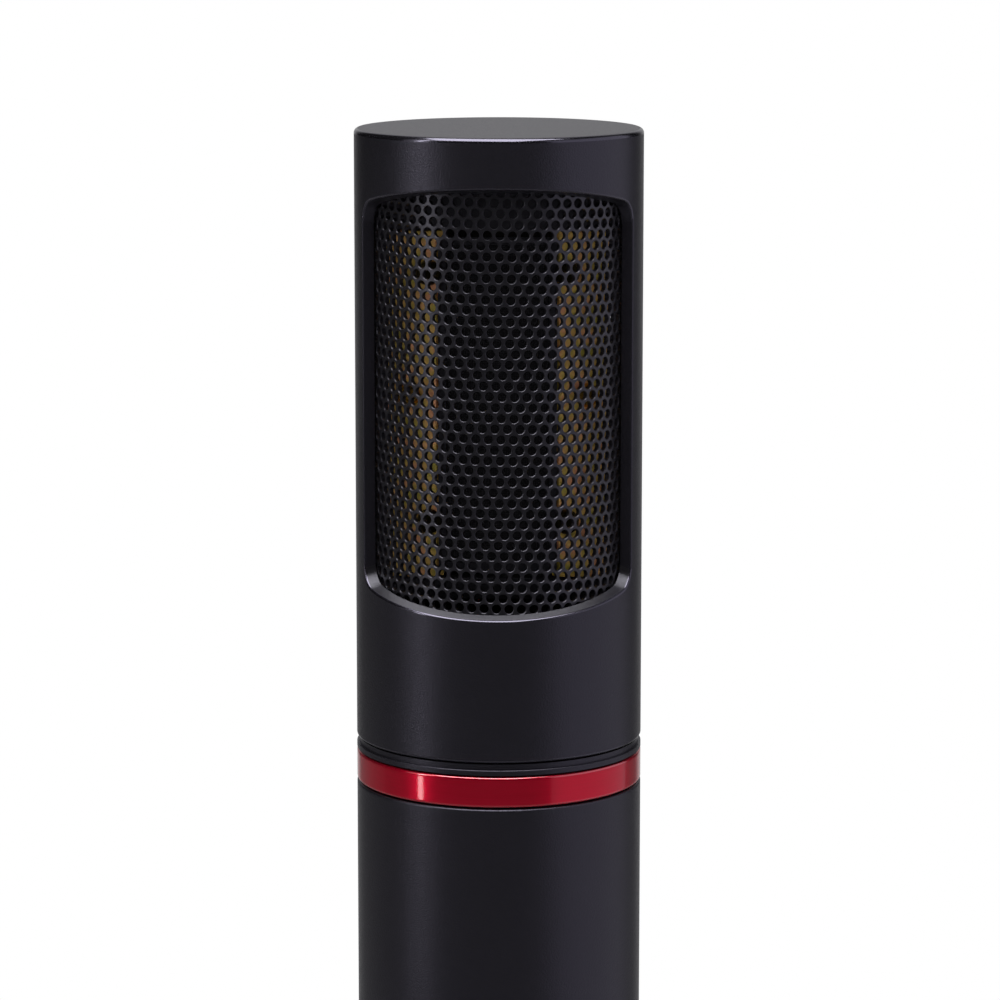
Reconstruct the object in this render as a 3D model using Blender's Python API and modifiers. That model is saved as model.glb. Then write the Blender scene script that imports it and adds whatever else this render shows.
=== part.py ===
"""Side-address ribbon microphone: a windowed head on a plain tube body, with its ribbon motor inside.

Units are metres, +Z is up, the front faces -Y and the origin is the centre of the lower end.
"""

import math

import bmesh
import bpy
from mathutils import Matrix, Vector
from mathutils.geometry import delaunay_2d_cdt

MM = 0.001
UP = Vector((0, 0, 1))
DOWN = -UP
BACK = Vector((0, 1, 0))
SIDES = (("left", -1), ("right", 1))

# Gap that neighbouring pieces keep
FIT = 0.3 * MM

# Casing: head, groove, ring and body
DIAMETER = 48.0 * MM
HEAD_LENGTH = 102.2 * MM
HEAD_WALL = 2.0 * MM
HEAD_TOP_THICKNESS = 2.5 * MM
HEAD_TOP_ROUND = 0.8 * MM
GROOVE_HEIGHT = 2.4 * MM
GROOVE_DEPTH = 0.45 * MM
SHOULDER_HEIGHT = 0.85 * MM
SHOULDER_BREAK = 0.2 * MM
RING_HEIGHT = 5.1 * MM
BODY_LENGTH = 90.0 * MM
BODY_WALL = 2.0 * MM
EDGE_BREAK = 0.4 * MM

# Window, measured round the outside of the head
WINDOW_BELOW_TOP = 8.1 * MM
WINDOW_ABOVE_BASE = 23.6 * MM
WINDOW_HALF_WIDTH = 28.3 * MM
WINDOW_CROWN_RADIUS = 116.0 * MM
WINDOW_CORNER = 4.0 * MM
WINDOW_FLARE = 0.6 * MM

# Grille: a perforated sheet rolled behind the windows
GRILLE_SHEET = 0.8 * MM
GRILLE_PITCH = 7.0 * MM
GRILLE_HOLE = 4.9 * MM
GRILLE_SEAM = 0.5 * MM

# Neck and the thread that holds the head
COLLAR_WALL = 1.5 * MM
COLLAR_HEIGHT = 8.0 * MM
THREAD_LENGTH = 6.2 * MM
NECK_WEB = 6.0 * MM
NECK_SPIGOT = 10.0 * MM
NECK_SPIGOT_WALL = 3.0 * MM

# Ribbon motor
MOTOR_MARGIN = 6.5 * MM
MOTOR_DROP = 1.75 * MM
MOTOR_HALF_DEPTH = 9.0 * MM
MOTOR_CLEARANCE = 0.5 * MM
BLOCK_INNER = 9.0 * MM
BLOCK_REBATE_WIDTH = 1.1 * MM
BLOCK_REBATE_DEPTH = 0.8 * MM
MOTOR_PLATE = 3.5 * MM
MOTOR_TOP_PLATE = 6.0 * MM
MOTOR_PLATE_INSET = 0.8 * MM
POLE_GAP_HALF = 2.4 * MM
POLE_OUTER = 5.3 * MM
POLE_HALF_DEPTH = 5.0 * MM
POLE_TIP_HALF_DEPTH = 1.6 * MM
SCREEN_SHEET = 0.4 * MM
SCREEN_MARGIN = 1.0 * MM
PLATE_SCREW_INSET = 3.8 * MM
RIVET_INSET = 2.4 * MM
RIVET_TOP_INSET = 6.8 * MM
RIVET_BASE_INSET = 9.3 * MM
TIE_INSET = 3.6 * MM

# Ribbon and its clamps
RIBBON_HALF_WIDTH = 2.0 * MM
RIBBON_SHEET = 0.15 * MM
RIBBON_FOLD_PITCH = 2.5 * MM
RIBBON_FOLD_DEPTH = 0.35 * MM
CLAMP_HEIGHT = 7.0 * MM
CLAMP_HALF_DEPTH = 6.0 * MM
CLAMP_BAR_HALF_WIDTH = 6.0 * MM
CLAMP_BAR_HEIGHT = 3.5 * MM
CLAMP_BAR_DEPTH = 2.0 * MM
CLAMP_SCREW_X = 4.2 * MM

# Isolators that carry the motor on the neck
ISOLATOR_CLEARANCE = 0.8 * MM
ISOLATOR_RADIUS = 4.0 * MM
ISOLATOR_WAIST = 3.3 * MM
ISOLATOR_BOLT_RADIUS = 1.5 * MM

# Chassis rails and output transformer inside the body
RAIL_THICKNESS = 4.0 * MM
RAIL_HALF_DEPTH = 3.5 * MM
RAIL_CLEARANCE = 0.45 * MM
SHELF_HEIGHT = 32.0 * MM
SHELF_THICKNESS = 3.0 * MM
SHELF_MARGIN = 0.2 * MM
CAN_CLEARANCE = 0.6 * MM
CAN_HEIGHT = 32.0 * MM
CAN_STUD_RADIUS = 2.0 * MM
CAN_STUD_LENGTH = 7.0 * MM
NUT_RADIUS = 4.0 * MM
NUT_HEIGHT = 3.0 * MM

# Three-pin connector in the lower end
END_PLATE_INSET = 0.5 * MM
END_PLATE_THICKNESS = 4.0 * MM
CUP_RADIUS = 8.1 * MM
CUP_DEPTH = 14.0 * MM
CUP_MOUTH = 0.9 * MM
CUP_SEAT = 1.8 * MM
CUP_WALL = 1.6 * MM
INSERT_THICKNESS = 3.2 * MM
RETAINER_HEIGHT = 1.4 * MM
RETAINER_WALL = 2.0 * MM
PIN_RADIUS = 1.2 * MM
PIN_CIRCLE = 3.96 * MM
PIN_RECESS = 1.5 * MM
PIN_TAIL = 2.0 * MM
PIN_ANGLES = (180, 0, 270)

# Small fasteners and leads
SHANK_RADIUS = 1.0 * MM
SHANK_LENGTH = 8.0 * MM
HEAD_RADIUS = 2.2 * MM
HEAD_HEIGHT = 1.5 * MM
RIVET_HEAD_RADIUS = 2.1 * MM
TIE_HEAD_RADIUS = 2.0 * MM
CLAMP_SHANK_RADIUS = 0.8 * MM
CLAMP_SHANK_LENGTH = 6.5 * MM
CLAMP_HEAD_RADIUS = 1.4 * MM
LEAD_RADIUS = 0.5 * MM
LEAD_X = 4.0 * MM
LEAD_Y = 6.8 * MM
OUTPUT_LEAD_REACH = 4.2 * MM

# Facets
TURNED_SIDES = 48
SMALL_SIDES = 10
ARC_STEPS = 3
CROWN_STEPS = 14
LEAD_STEPS = 2

# Levels and radii that follow from the sizes above
RADIUS = DIAMETER / 2
HEAD_BORE = RADIUS - HEAD_WALL
BODY_BORE = RADIUS - BODY_WALL
RING_BASE = BODY_LENGTH + FIT
RING_TOP = RING_BASE + RING_HEIGHT
HEAD_BASE = RING_TOP + GROOVE_HEIGHT
HEAD_TOP = HEAD_BASE + HEAD_LENGTH
HEAD_CEILING = HEAD_TOP - HEAD_TOP_THICKNESS
WINDOW_TOP = HEAD_TOP - WINDOW_BELOW_TOP
WINDOW_HEIGHT = HEAD_LENGTH - WINDOW_BELOW_TOP - WINDOW_ABOVE_BASE
WINDOW_CENTRE = WINDOW_TOP - WINDOW_HEIGHT / 2
COLLAR_RADIUS = HEAD_BORE - FIT
THREAD_RADIUS = COLLAR_RADIUS - COLLAR_WALL - FIT
COLLAR_TOP = HEAD_BASE + COLLAR_HEIGHT
PLATFORM = HEAD_BASE + THREAD_LENGTH
WEB_BASE = PLATFORM - NECK_WEB
GRILLE_RADIUS = HEAD_BORE - FIT
NECK_SPIGOT_RADIUS = BODY_BORE - FIT
NECK_BORE_RADIUS = NECK_SPIGOT_RADIUS - NECK_SPIGOT_WALL
MOTOR_RADIUS = GRILLE_RADIUS - GRILLE_SHEET - MOTOR_CLEARANCE
BLOCK_OUTER = math.sqrt(MOTOR_RADIUS**2 - MOTOR_HALF_DEPTH**2)
MOTOR_PLATE_HALF_WIDTH = BLOCK_OUTER - MOTOR_PLATE_INSET
PLATE_SCREW_X = BLOCK_OUTER - PLATE_SCREW_INSET
ISOLATOR_X = PLATE_SCREW_X - HEAD_RADIUS - ISOLATOR_CLEARANCE - ISOLATOR_RADIUS
RIVET_X = BLOCK_INNER + RIVET_INSET
TIE_X = BLOCK_OUTER - TIE_INSET
MOTOR_HEIGHT = WINDOW_HEIGHT - 2 * MOTOR_MARGIN
MOTOR_CENTRE = WINDOW_CENTRE - MOTOR_DROP
MOTOR_BASE = MOTOR_CENTRE - MOTOR_HEIGHT / 2
MOTOR_TOP = MOTOR_CENTRE + MOTOR_HEIGHT / 2
BASE_PLATE_TOP = MOTOR_BASE - FIT
BASE_PLATE_BASE = BASE_PLATE_TOP - MOTOR_PLATE
TOP_PLATE_BASE = MOTOR_TOP + FIT
TOP_PLATE_TOP = TOP_PLATE_BASE + MOTOR_TOP_PLATE
RIVET_LEVELS = (("upper", MOTOR_TOP - RIVET_TOP_INSET), ("lower", MOTOR_BASE + RIVET_BASE_INSET))
POLE_BASE = MOTOR_BASE + CLAMP_HEIGHT + FIT
POLE_TOP = MOTOR_TOP - CLAMP_HEIGHT - FIT
CLAMP_FACE = RIBBON_SHEET / 2 + FIT
SHANK_HOLE = SHANK_RADIUS + FIT
LEAD_HOLE = LEAD_RADIUS + FIT
END_PLATE_TOP = END_PLATE_INSET + END_PLATE_THICKNESS
END_SCREW_SEAT = END_PLATE_INSET + FIT + HEAD_HEIGHT
RAIL_OUTER = math.sqrt((NECK_BORE_RADIUS - RAIL_CLEARANCE) ** 2 - RAIL_HALF_DEPTH**2)
RAIL_INNER = RAIL_OUTER - RAIL_THICKNESS
RAIL_X = (RAIL_INNER + RAIL_OUTER) / 2
RAIL_BASE = END_PLATE_TOP + FIT
RAIL_TOP = WEB_BASE - FIT
CAN_RADIUS = RAIL_INNER - CAN_CLEARANCE
SHELF_HALF_DEPTH = CAN_RADIUS + SHELF_MARGIN
OUTPUT_LEAD_Y = -CAN_RADIUS - OUTPUT_LEAD_REACH
SHELF_TOP = SHELF_HEIGHT + SHELF_THICKNESS
CAN_BASE = SHELF_TOP + FIT
CAN_TOP = CAN_BASE + CAN_HEIGHT
CUP_TOP = END_PLATE_INSET + CUP_DEPTH
INSERT_BASE = CUP_TOP + FIT
INSERT_TOP = INSERT_BASE + INSERT_THICKNESS
RETAINER_BASE = INSERT_TOP + FIT
RETAINER_TOP = RETAINER_BASE + RETAINER_HEIGHT
INSERT_RADIUS = CUP_RADIUS + CUP_SEAT - FIT
PIN_TOP = RETAINER_TOP + PIN_TAIL

# Finishes: sRGB colour, roughness, metallic
FINISHES = {
    "black_anodised_aluminium": ("1b191d", 0.45, 1.0),
    "red_anodised_aluminium": ("a00c20", 0.3, 1.0),
    "black_steel": ("101012", 0.5, 1.0),
    "passivated_steel": ("b58a3c", 0.35, 1.0),
    "brass": ("c9a24a", 0.3, 1.0),
    "nickel": ("b9b6ae", 0.25, 1.0),
    "aluminium_foil": ("d6d8da", 0.25, 1.0),
    "black_silk": ("0c0c0d", 0.9, 0.0),
    "phenolic_board": ("5a3b22", 0.6, 0.0),
    "rubber": ("161616", 0.85, 0.0),
    "zinc_plated_steel": ("9c9fa3", 0.35, 1.0),
    "connector_plastic": ("17171a", 0.5, 0.0),
    "red_insulation": ("a32420", 0.5, 0.0),
    "black_insulation": ("181818", 0.5, 0.0),
}


def clear_scene():
    for thing in list(bpy.data.objects):
        bpy.data.objects.remove(thing)


def new_collection(name):
    collection = bpy.data.collections.new(name)
    bpy.context.scene.collection.children.link(collection)
    return collection


def linear(hex_colour):
    """Turn an sRGB hex colour into linear red, green, blue and alpha."""
    shares = [int(hex_colour[i : i + 2], 16) / 255 for i in (0, 2, 4)]
    return [s / 12.92 if s <= 0.04045 else ((s + 0.055) / 1.055) ** 2.4 for s in shares] + [1.0]


def material(finish):
    made = bpy.data.materials.get(finish)
    if made:
        return made
    colour, roughness, metallic = FINISHES[finish]
    made = bpy.data.materials.new(finish)
    made.use_nodes = True
    shader = made.node_tree.nodes["Principled BSDF"]
    shader.inputs["Base Color"].default_value = linear(colour)
    shader.inputs["Roughness"].default_value = roughness
    shader.inputs["Metallic"].default_value = metallic
    return made


def piece(name, data, finish):
    """Put a mesh or a curve into the microphone under its own name, with its finish."""
    made = bpy.data.objects.new(name, data)
    data.materials.append(material(finish))
    PARTS.objects.link(made)
    return made


def mesh_of(name, build):
    """Close a bmesh into a named mesh."""
    data = bpy.data.meshes.new(name)
    build.to_mesh(data)
    build.free()
    return data


def screw_profile(thing, sides):
    turn = thing.modifiers.new("turn", "SCREW")
    turn.steps = sides
    turn.render_steps = sides
    turn.use_merge_vertices = True
    turn.merge_threshold = 0.001 * MM
    turn.use_smooth_shade = True


def turned(name, profile, finish, sides=TURNED_SIDES):
    """Turn a profile of (radius, height) points, which runs down its outer side, about Z.

    A profile that doesn't start and end on the axis is closed into a ring.
    """
    data = bpy.data.meshes.new(name)
    edges = [(i, i + 1) for i in range(len(profile) - 1)]
    if profile[0][0] > 0:
        edges.append((len(profile) - 1, 0))
    data.from_pydata([(r, 0, z) for r, z in profile], edges, [])
    made = piece(name, data, finish)
    screw_profile(made, sides)
    return made


def extruded(name, outline, base, top, finish):
    """Extrude a flat outline of (x, y) points from one level to another, as a mesh that can be cut."""
    curve = bpy.data.curves.new(name, "CURVE")
    curve.dimensions = "2D"
    curve.fill_mode = "BOTH"
    curve.extrude = (top - base) / 2
    spline = curve.splines.new("POLY")
    spline.points.add(len(outline) - 1)
    for point, (x, y) in zip(spline.points, outline):
        point.co = (x, y, 0, 1)
    spline.use_cyclic_u = True
    flat = bpy.data.objects.new(name + "_outline", curve)
    PARTS.objects.link(flat)
    flat.location.z = (base + top) / 2
    bpy.context.view_layer.update()
    data = bpy.data.meshes.new_from_object(flat.evaluated_get(bpy.context.evaluated_depsgraph_get()))
    data.name = name
    build = bmesh.new()
    build.from_mesh(data)
    bmesh.ops.remove_doubles(build, verts=build.verts, dist=0.001 * MM)
    bmesh.ops.recalc_face_normals(build, faces=build.faces)
    build.to_mesh(data)
    build.free()
    made = piece(name, data, finish)
    made.matrix_world = flat.matrix_world
    bpy.data.objects.remove(flat)
    return made


def rectangle(low_x, high_x, low_y, high_y):
    return [(low_x, low_y), (high_x, low_y), (high_x, high_y), (low_x, high_y)]


def cut(target, name, data):
    """Cut a closed mesh out of a piece."""
    cutter = bpy.data.objects.new(name, data)
    cutter.hide_render = True
    cutter.display_type = "WIRE"
    CUTTERS.objects.link(cutter)
    difference = target.modifiers.new(name, "BOOLEAN")
    difference.operation = "DIFFERENCE"
    difference.object = cutter


def facing(direction):
    """The turn that points a piece's own Z along a direction."""
    return direction.to_track_quat("Z", "Y").to_matrix().to_4x4()


def drill(target, holes, label="holes"):
    """Cut round holes that don't meet, each given as its radius and the two ends of its axis.

    Their facets touch the true circle from outside, so that a round shank keeps its clearance.
    """
    build = bmesh.new()
    to_corner = 1 / math.cos(math.pi / SMALL_SIDES)
    half_facet = Matrix.Rotation(math.pi / SMALL_SIDES, 4, "Z")
    for radius, start, end in holes:
        axis = Vector(end) - Vector(start)
        middle = (Vector(start) + Vector(end)) / 2
        bmesh.ops.create_cone(
            build,
            cap_ends=True,
            segments=SMALL_SIDES,
            radius1=radius * to_corner,
            radius2=radius * to_corner,
            depth=axis.length,
            matrix=Matrix.Translation(middle) @ facing(axis) @ half_facet,
        )
    name = f"{target.name}_{label}"
    cut(target, name, mesh_of(name, build))


def upright_hole(radius, x, y, base, top):
    """A hole along Z that runs past both levels, so that it opens at both."""
    return radius, (x, y, base - FIT), (x, y, top + FIT)


def through_hole(radius, x, z, half_depth):
    """A hole along Y right through a piece that is centred on the ribbon."""
    return radius, (x, -half_depth - FIT, z), (x, half_depth + FIT, z)


def screw(
    name, seat, out, finish="zinc_plated_steel", length=SHANK_LENGTH, radius=SHANK_RADIUS, head=HEAD_RADIUS
):
    """A screw whose head rises from its seat along out, and whose shank runs the other way."""
    profile = [
        (0, HEAD_HEIGHT),
        (head, HEAD_HEIGHT),
        (head, 0),
        (radius, 0),
        (radius, -length),
        (0, -length),
    ]
    made = turned(name, profile, finish, SMALL_SIDES)
    made.matrix_world = Matrix.Translation(seat) @ facing(out)
    return made


def rivet(name, x, z, head, finish):
    """A rivet along Y through a side block, with a formed head at the front and at the back."""
    seat = MOTOR_HALF_DEPTH + FIT
    crown = seat + HEAD_HEIGHT
    profile = [
        (0, crown),
        (head, crown),
        (head, seat),
        (SHANK_RADIUS, seat),
        (SHANK_RADIUS, -seat),
        (head, -seat),
        (head, -crown),
        (0, -crown),
    ]
    made = turned(name, profile, finish, SMALL_SIDES)
    made.matrix_world = Matrix.Translation((x, 0, z)) @ facing(BACK)
    return made


def smooth_route(stops):
    """Points along a route: its first and last legs are straight, and a smooth curve lies between them."""
    stops = [Vector(stop) for stop in stops]
    route = stops[:1]
    for before, start, end, after in zip(stops, stops[1:], stops[2:], stops[3:]):
        for step in range(LEAD_STEPS):
            t = step / LEAD_STEPS
            route.append(
                0.5
                * (
                    2 * start
                    + (end - before) * t
                    + (2 * before - 5 * start + 4 * end - after) * t**2
                    + (3 * start - before - 3 * end + after) * t**3
                )
            )
    return route + stops[-2:]


def lead(name, stops, finish):
    """An insulated wire along a route."""
    curve = bpy.data.curves.new(name, "CURVE")
    curve.dimensions = "3D"
    curve.bevel_depth = LEAD_RADIUS
    curve.bevel_resolution = 2
    curve.use_fill_caps = True
    spline = curve.splines.new("POLY")
    route = smooth_route(stops)
    spline.points.add(len(route) - 1)
    for point, place in zip(spline.points, route):
        point.co = (*place, 1)
    return piece(name, curve, finish)


def on_cylinder(radius, arc, height):
    """The point at an arc length round a cylinder, counted from the front, and a height."""
    turn = arc / radius
    return Vector((radius * math.sin(turn), -radius * math.cos(turn), height))


def window_edge():
    """Points (arc, rise) along the window's upper edge, from side to side. Rise is from its centre.

    The edge is a shallow crown between two corner arcs that also touch the straight sides.
    """
    crown_centre = WINDOW_HEIGHT / 2 - WINDOW_CROWN_RADIUS
    corner_arc = WINDOW_HALF_WIDTH - WINDOW_CORNER
    reach = WINDOW_CROWN_RADIUS - WINDOW_CORNER
    corner_rise = crown_centre + math.sqrt(reach**2 - corner_arc**2)
    crown_angle = math.asin(corner_arc / reach)
    half = []
    for step in range(CROWN_STEPS // 2 + 1):
        angle = crown_angle * step / (CROWN_STEPS // 2)
        arc, rise = WINDOW_CROWN_RADIUS * math.sin(angle), WINDOW_CROWN_RADIUS * math.cos(angle)
        half.append((arc, crown_centre + rise))
    for step in range(1, ARC_STEPS + 1):
        angle = crown_angle + (math.pi / 2 - crown_angle) * step / ARC_STEPS
        arc, rise = WINDOW_CORNER * math.sin(angle), WINDOW_CORNER * math.cos(angle)
        half.append((corner_arc + arc, corner_rise + rise))
    return [(-arc, rise) for arc, rise in reversed(half[1:])] + half


def window_cutter(half_turn):
    """A closed body through the head's wall: radial at the sides, flared above and below."""
    inner, outer = HEAD_BORE - HEAD_WALL / 2, RADIUS + HEAD_WALL / 2
    build = bmesh.new()
    sections = []
    for arc, rise in window_edge():
        section = []
        for radius, sign in ((inner, 1), (outer, 1), (outer, -1), (inner, -1)):
            flare = WINDOW_FLARE * (RADIUS - radius) / HEAD_WALL
            level = WINDOW_CENTRE + sign * (rise - flare)
            section.append(build.verts.new(on_cylinder(radius, arc * radius / RADIUS, level)))
        sections.append(section)
    for near, far in zip(sections, sections[1:]):
        for i in range(4):
            build.faces.new((near[i - 1], near[i], far[i], far[i - 1]))
    build.faces.new(sections[0])
    build.faces.new(sections[-1][::-1])
    bmesh.ops.recalc_face_normals(build, faces=build.faces)
    bmesh.ops.rotate(build, verts=build.verts, matrix=Matrix.Rotation(math.pi * half_turn, 3, "Z"))
    return build


def head_shell():
    round_start = HEAD_TOP - HEAD_TOP_ROUND
    top_round = []
    for step in range(ARC_STEPS + 1):
        angle = math.pi / 2 * step / ARC_STEPS
        across = RADIUS - HEAD_TOP_ROUND + HEAD_TOP_ROUND * math.sin(angle)
        top_round.append((across, round_start + HEAD_TOP_ROUND * math.cos(angle)))
    profile = [
        (0, HEAD_TOP),
        *top_round,
        (RADIUS, HEAD_BASE + EDGE_BREAK),
        (RADIUS - EDGE_BREAK, HEAD_BASE),
        (HEAD_BORE, HEAD_BASE),
        (HEAD_BORE, HEAD_CEILING),
        (0, HEAD_CEILING),
    ]
    shell = turned("head_shell", profile, "black_anodised_aluminium")
    for half_turn, name in enumerate(("front_window", "rear_window")):
        cut(shell, name, mesh_of(name, window_cutter(half_turn)))


def grille_holes(window_arcs, half_width):
    """Centres (arc, level) of the perforations, in staggered rows behind each window."""
    row_step = GRILLE_PITCH * math.sin(math.radians(60))
    rows = int((WINDOW_HEIGHT / 2 - GRILLE_HOLE / 4) / row_step)
    columns = int(half_width / GRILLE_PITCH) + 1
    for window_arc in window_arcs:
        for row in range(-rows, rows + 1):
            stagger = GRILLE_PITCH / 2 * (row % 2)
            for column in range(-columns, columns + 1):
                arc = column * GRILLE_PITCH + stagger
                if abs(arc) <= half_width:
                    yield window_arc + arc, WINDOW_CENTRE + row * row_step


def perforated_sheet(base, top, half_length, window_arcs):
    """Points, triangles and each point's hole, if any, of the flat sheet.

    Upright lines divide its plain stretches, so that they bend when the sheet is rolled.
    """
    half_width = WINDOW_HALF_WIDTH * GRILLE_RADIUS / RADIUS - GRILLE_HOLE / 4
    stops = [half_length * (2 * step / TURNED_SIDES - 1) for step in range(TURNED_SIDES + 1)]
    points = [Vector((arc, base)) for arc in stops] + [Vector((arc, top)) for arc in reversed(stops)]
    edges = [(i, (i + 1) % len(points)) for i in range(len(points))]
    for i, arc in enumerate(stops):
        if min(abs(arc - window_arc) for window_arc in window_arcs) > half_width + GRILLE_HOLE / 2 + FIT:
            edges.append((i, 2 * TURNED_SIDES + 1 - i))
    hole_of = [None] * len(points)
    for hole, (arc, level) in enumerate(grille_holes(window_arcs, half_width)):
        first = len(points)
        for corner in range(6):
            angle = math.radians(60 * corner + 30)
            rim = GRILLE_HOLE / 2 * Vector((math.cos(angle), math.sin(angle)))
            points.append(Vector((arc, level)) + rim)
            edges.append((first + corner, first + (corner + 1) % 6))
            hole_of.append(hole)
    flat, _, triangles, sources, _, _ = delaunay_2d_cdt(points, edges, [], 1, 0.001 * MM)
    return flat, triangles, [hole_of[source[0]] for source in sources]


def grille():
    """The sheet is laid out flat, perforated, rolled to a tube with a seam at one side, and thickened."""
    half_length = math.pi * GRILLE_RADIUS - GRILLE_SEAM / 2
    quarter_turn = math.pi / 2 * GRILLE_RADIUS
    flat, triangles, holes = perforated_sheet(
        COLLAR_TOP + FIT, HEAD_CEILING - FIT, half_length, (-quarter_turn, quarter_turn)
    )
    build = bmesh.new()
    verts = [build.verts.new(on_cylinder(GRILLE_RADIUS, arc + quarter_turn, level)) for arc, level in flat]
    for triangle in triangles:
        owners = {holes[i] for i in triangle}
        if len(owners) > 1 or None in owners:
            build.faces.new([verts[i] for i in triangle])
    bmesh.ops.recalc_face_normals(build, faces=build.faces)
    build.faces.ensure_lookup_table()
    outward = build.faces[0].calc_center_median() * Vector((1, 1, 0))
    if build.faces[0].normal.dot(outward) < 0:
        bmesh.ops.reverse_faces(build, faces=build.faces)
    sheet = piece("grille", mesh_of("grille", build), "black_steel")
    wall = sheet.modifiers.new("sheet", "SOLIDIFY")
    wall.thickness = GRILLE_SHEET
    wall.offset = -1


def head_collar():
    profile = [
        (COLLAR_RADIUS - COLLAR_WALL, COLLAR_TOP),
        (COLLAR_RADIUS, COLLAR_TOP),
        (COLLAR_RADIUS, HEAD_BASE),
        (COLLAR_RADIUS - COLLAR_WALL, HEAD_BASE),
    ]
    turned("head_collar", profile, "brass")


def neck():
    """One turned piece: threaded spigot for the head, stepped flange, spigot for ring and body.

    The flange's lower step is a shoulder as wide as the casing, and its upper step is the groove's floor.
    """
    flange_base, flange_top = RING_TOP + FIT, HEAD_BASE - FIT
    groove_radius = RADIUS - GROOVE_DEPTH
    shoulder_top = flange_base + SHOULDER_HEIGHT
    spigot_base = BODY_LENGTH - NECK_SPIGOT
    profile = [
        (0, PLATFORM),
        (THREAD_RADIUS - EDGE_BREAK, PLATFORM),
        (THREAD_RADIUS, PLATFORM - EDGE_BREAK),
        (THREAD_RADIUS, flange_top),
        (groove_radius, flange_top),
        (groove_radius, shoulder_top),
        (RADIUS - SHOULDER_BREAK, shoulder_top),
        (RADIUS, shoulder_top - SHOULDER_BREAK),
        (RADIUS, flange_base),
        (NECK_SPIGOT_RADIUS, flange_base),
        (NECK_SPIGOT_RADIUS, spigot_base),
        (NECK_BORE_RADIUS, spigot_base),
        (NECK_BORE_RADIUS, WEB_BASE),
        (0, WEB_BASE),
    ]
    body = turned("neck", profile, "black_anodised_aluminium")
    holes = []
    for _, sign in SIDES:
        holes.append(upright_hole(SHANK_HOLE, sign * RAIL_X, 0, WEB_BASE, PLATFORM))
        holes.append(upright_hole(ISOLATOR_BOLT_RADIUS + FIT, sign * ISOLATOR_X, 0, WEB_BASE, PLATFORM))
        holes.append(upright_hole(LEAD_HOLE, sign * LEAD_X, LEAD_Y, WEB_BASE, PLATFORM))
    drill(body, holes)


def casing_ring(name, base, top, bore, finish):
    """A plain tube of the casing's diameter, with both outer edges broken."""
    profile = [
        (bore, top),
        (RADIUS - EDGE_BREAK, top),
        (RADIUS, top - EDGE_BREAK),
        (RADIUS, base + EDGE_BREAK),
        (RADIUS - EDGE_BREAK, base),
        (bore, base),
    ]
    turned(name, profile, finish)


def side_blocks():
    """Left and right flux blocks of the motor, rebated at their inner corners for the screens."""
    front, step = MOTOR_HALF_DEPTH, MOTOR_HALF_DEPTH - BLOCK_REBATE_DEPTH
    lip = BLOCK_INNER + BLOCK_REBATE_WIDTH
    half = [(BLOCK_INNER, step), (lip, step), (lip, front), (BLOCK_OUTER, front)]
    for side, sign in SIDES:
        outline = [(sign * x, y) for x, y in half] + [(sign * x, -y) for x, y in reversed(half)]
        block = extruded(f"side_block_{side}", outline, MOTOR_BASE, MOTOR_TOP, "passivated_steel")
        depth = SHANK_LENGTH - MOTOR_PLATE - FIT
        x = sign * PLATE_SCREW_X
        drill(
            block,
            [
                *(through_hole(SHANK_HOLE, sign * RIVET_X, height, front) for _, height in RIVET_LEVELS),
                through_hole(SHANK_HOLE, sign * TIE_X, WINDOW_CENTRE, front),
                (SHANK_HOLE, (x, 0, MOTOR_TOP - depth), (x, 0, MOTOR_TOP + FIT)),
                (SHANK_HOLE, (x, 0, MOTOR_BASE - FIT), (x, 0, MOTOR_BASE + depth)),
            ],
        )
        for level, height in RIVET_LEVELS:
            name = f"screen_rivet_{level}_{side}"
            rivet(name, sign * RIVET_X, height, RIVET_HEAD_RADIUS, "black_steel")
        rivet(f"tie_rivet_{side}", sign * TIE_X, WINDOW_CENTRE, TIE_HEAD_RADIUS, "brass")


def magnets_and_poles():
    magnet_inner, magnet_outer = POLE_OUTER + FIT, BLOCK_INNER - FIT
    for side, sign in SIDES:
        bar = rectangle(sign * magnet_inner, sign * magnet_outer, -POLE_HALF_DEPTH, POLE_HALF_DEPTH)
        extruded(f"magnet_{side}", bar, POLE_BASE, POLE_TOP, "nickel")
        taper = [
            (sign * POLE_GAP_HALF, -POLE_TIP_HALF_DEPTH),
            (sign * POLE_OUTER, -POLE_HALF_DEPTH),
            (sign * POLE_OUTER, POLE_HALF_DEPTH),
            (sign * POLE_GAP_HALF, POLE_TIP_HALF_DEPTH),
        ]
        extruded(f"pole_piece_{side}", taper, POLE_BASE, POLE_TOP, "black_steel")


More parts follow.
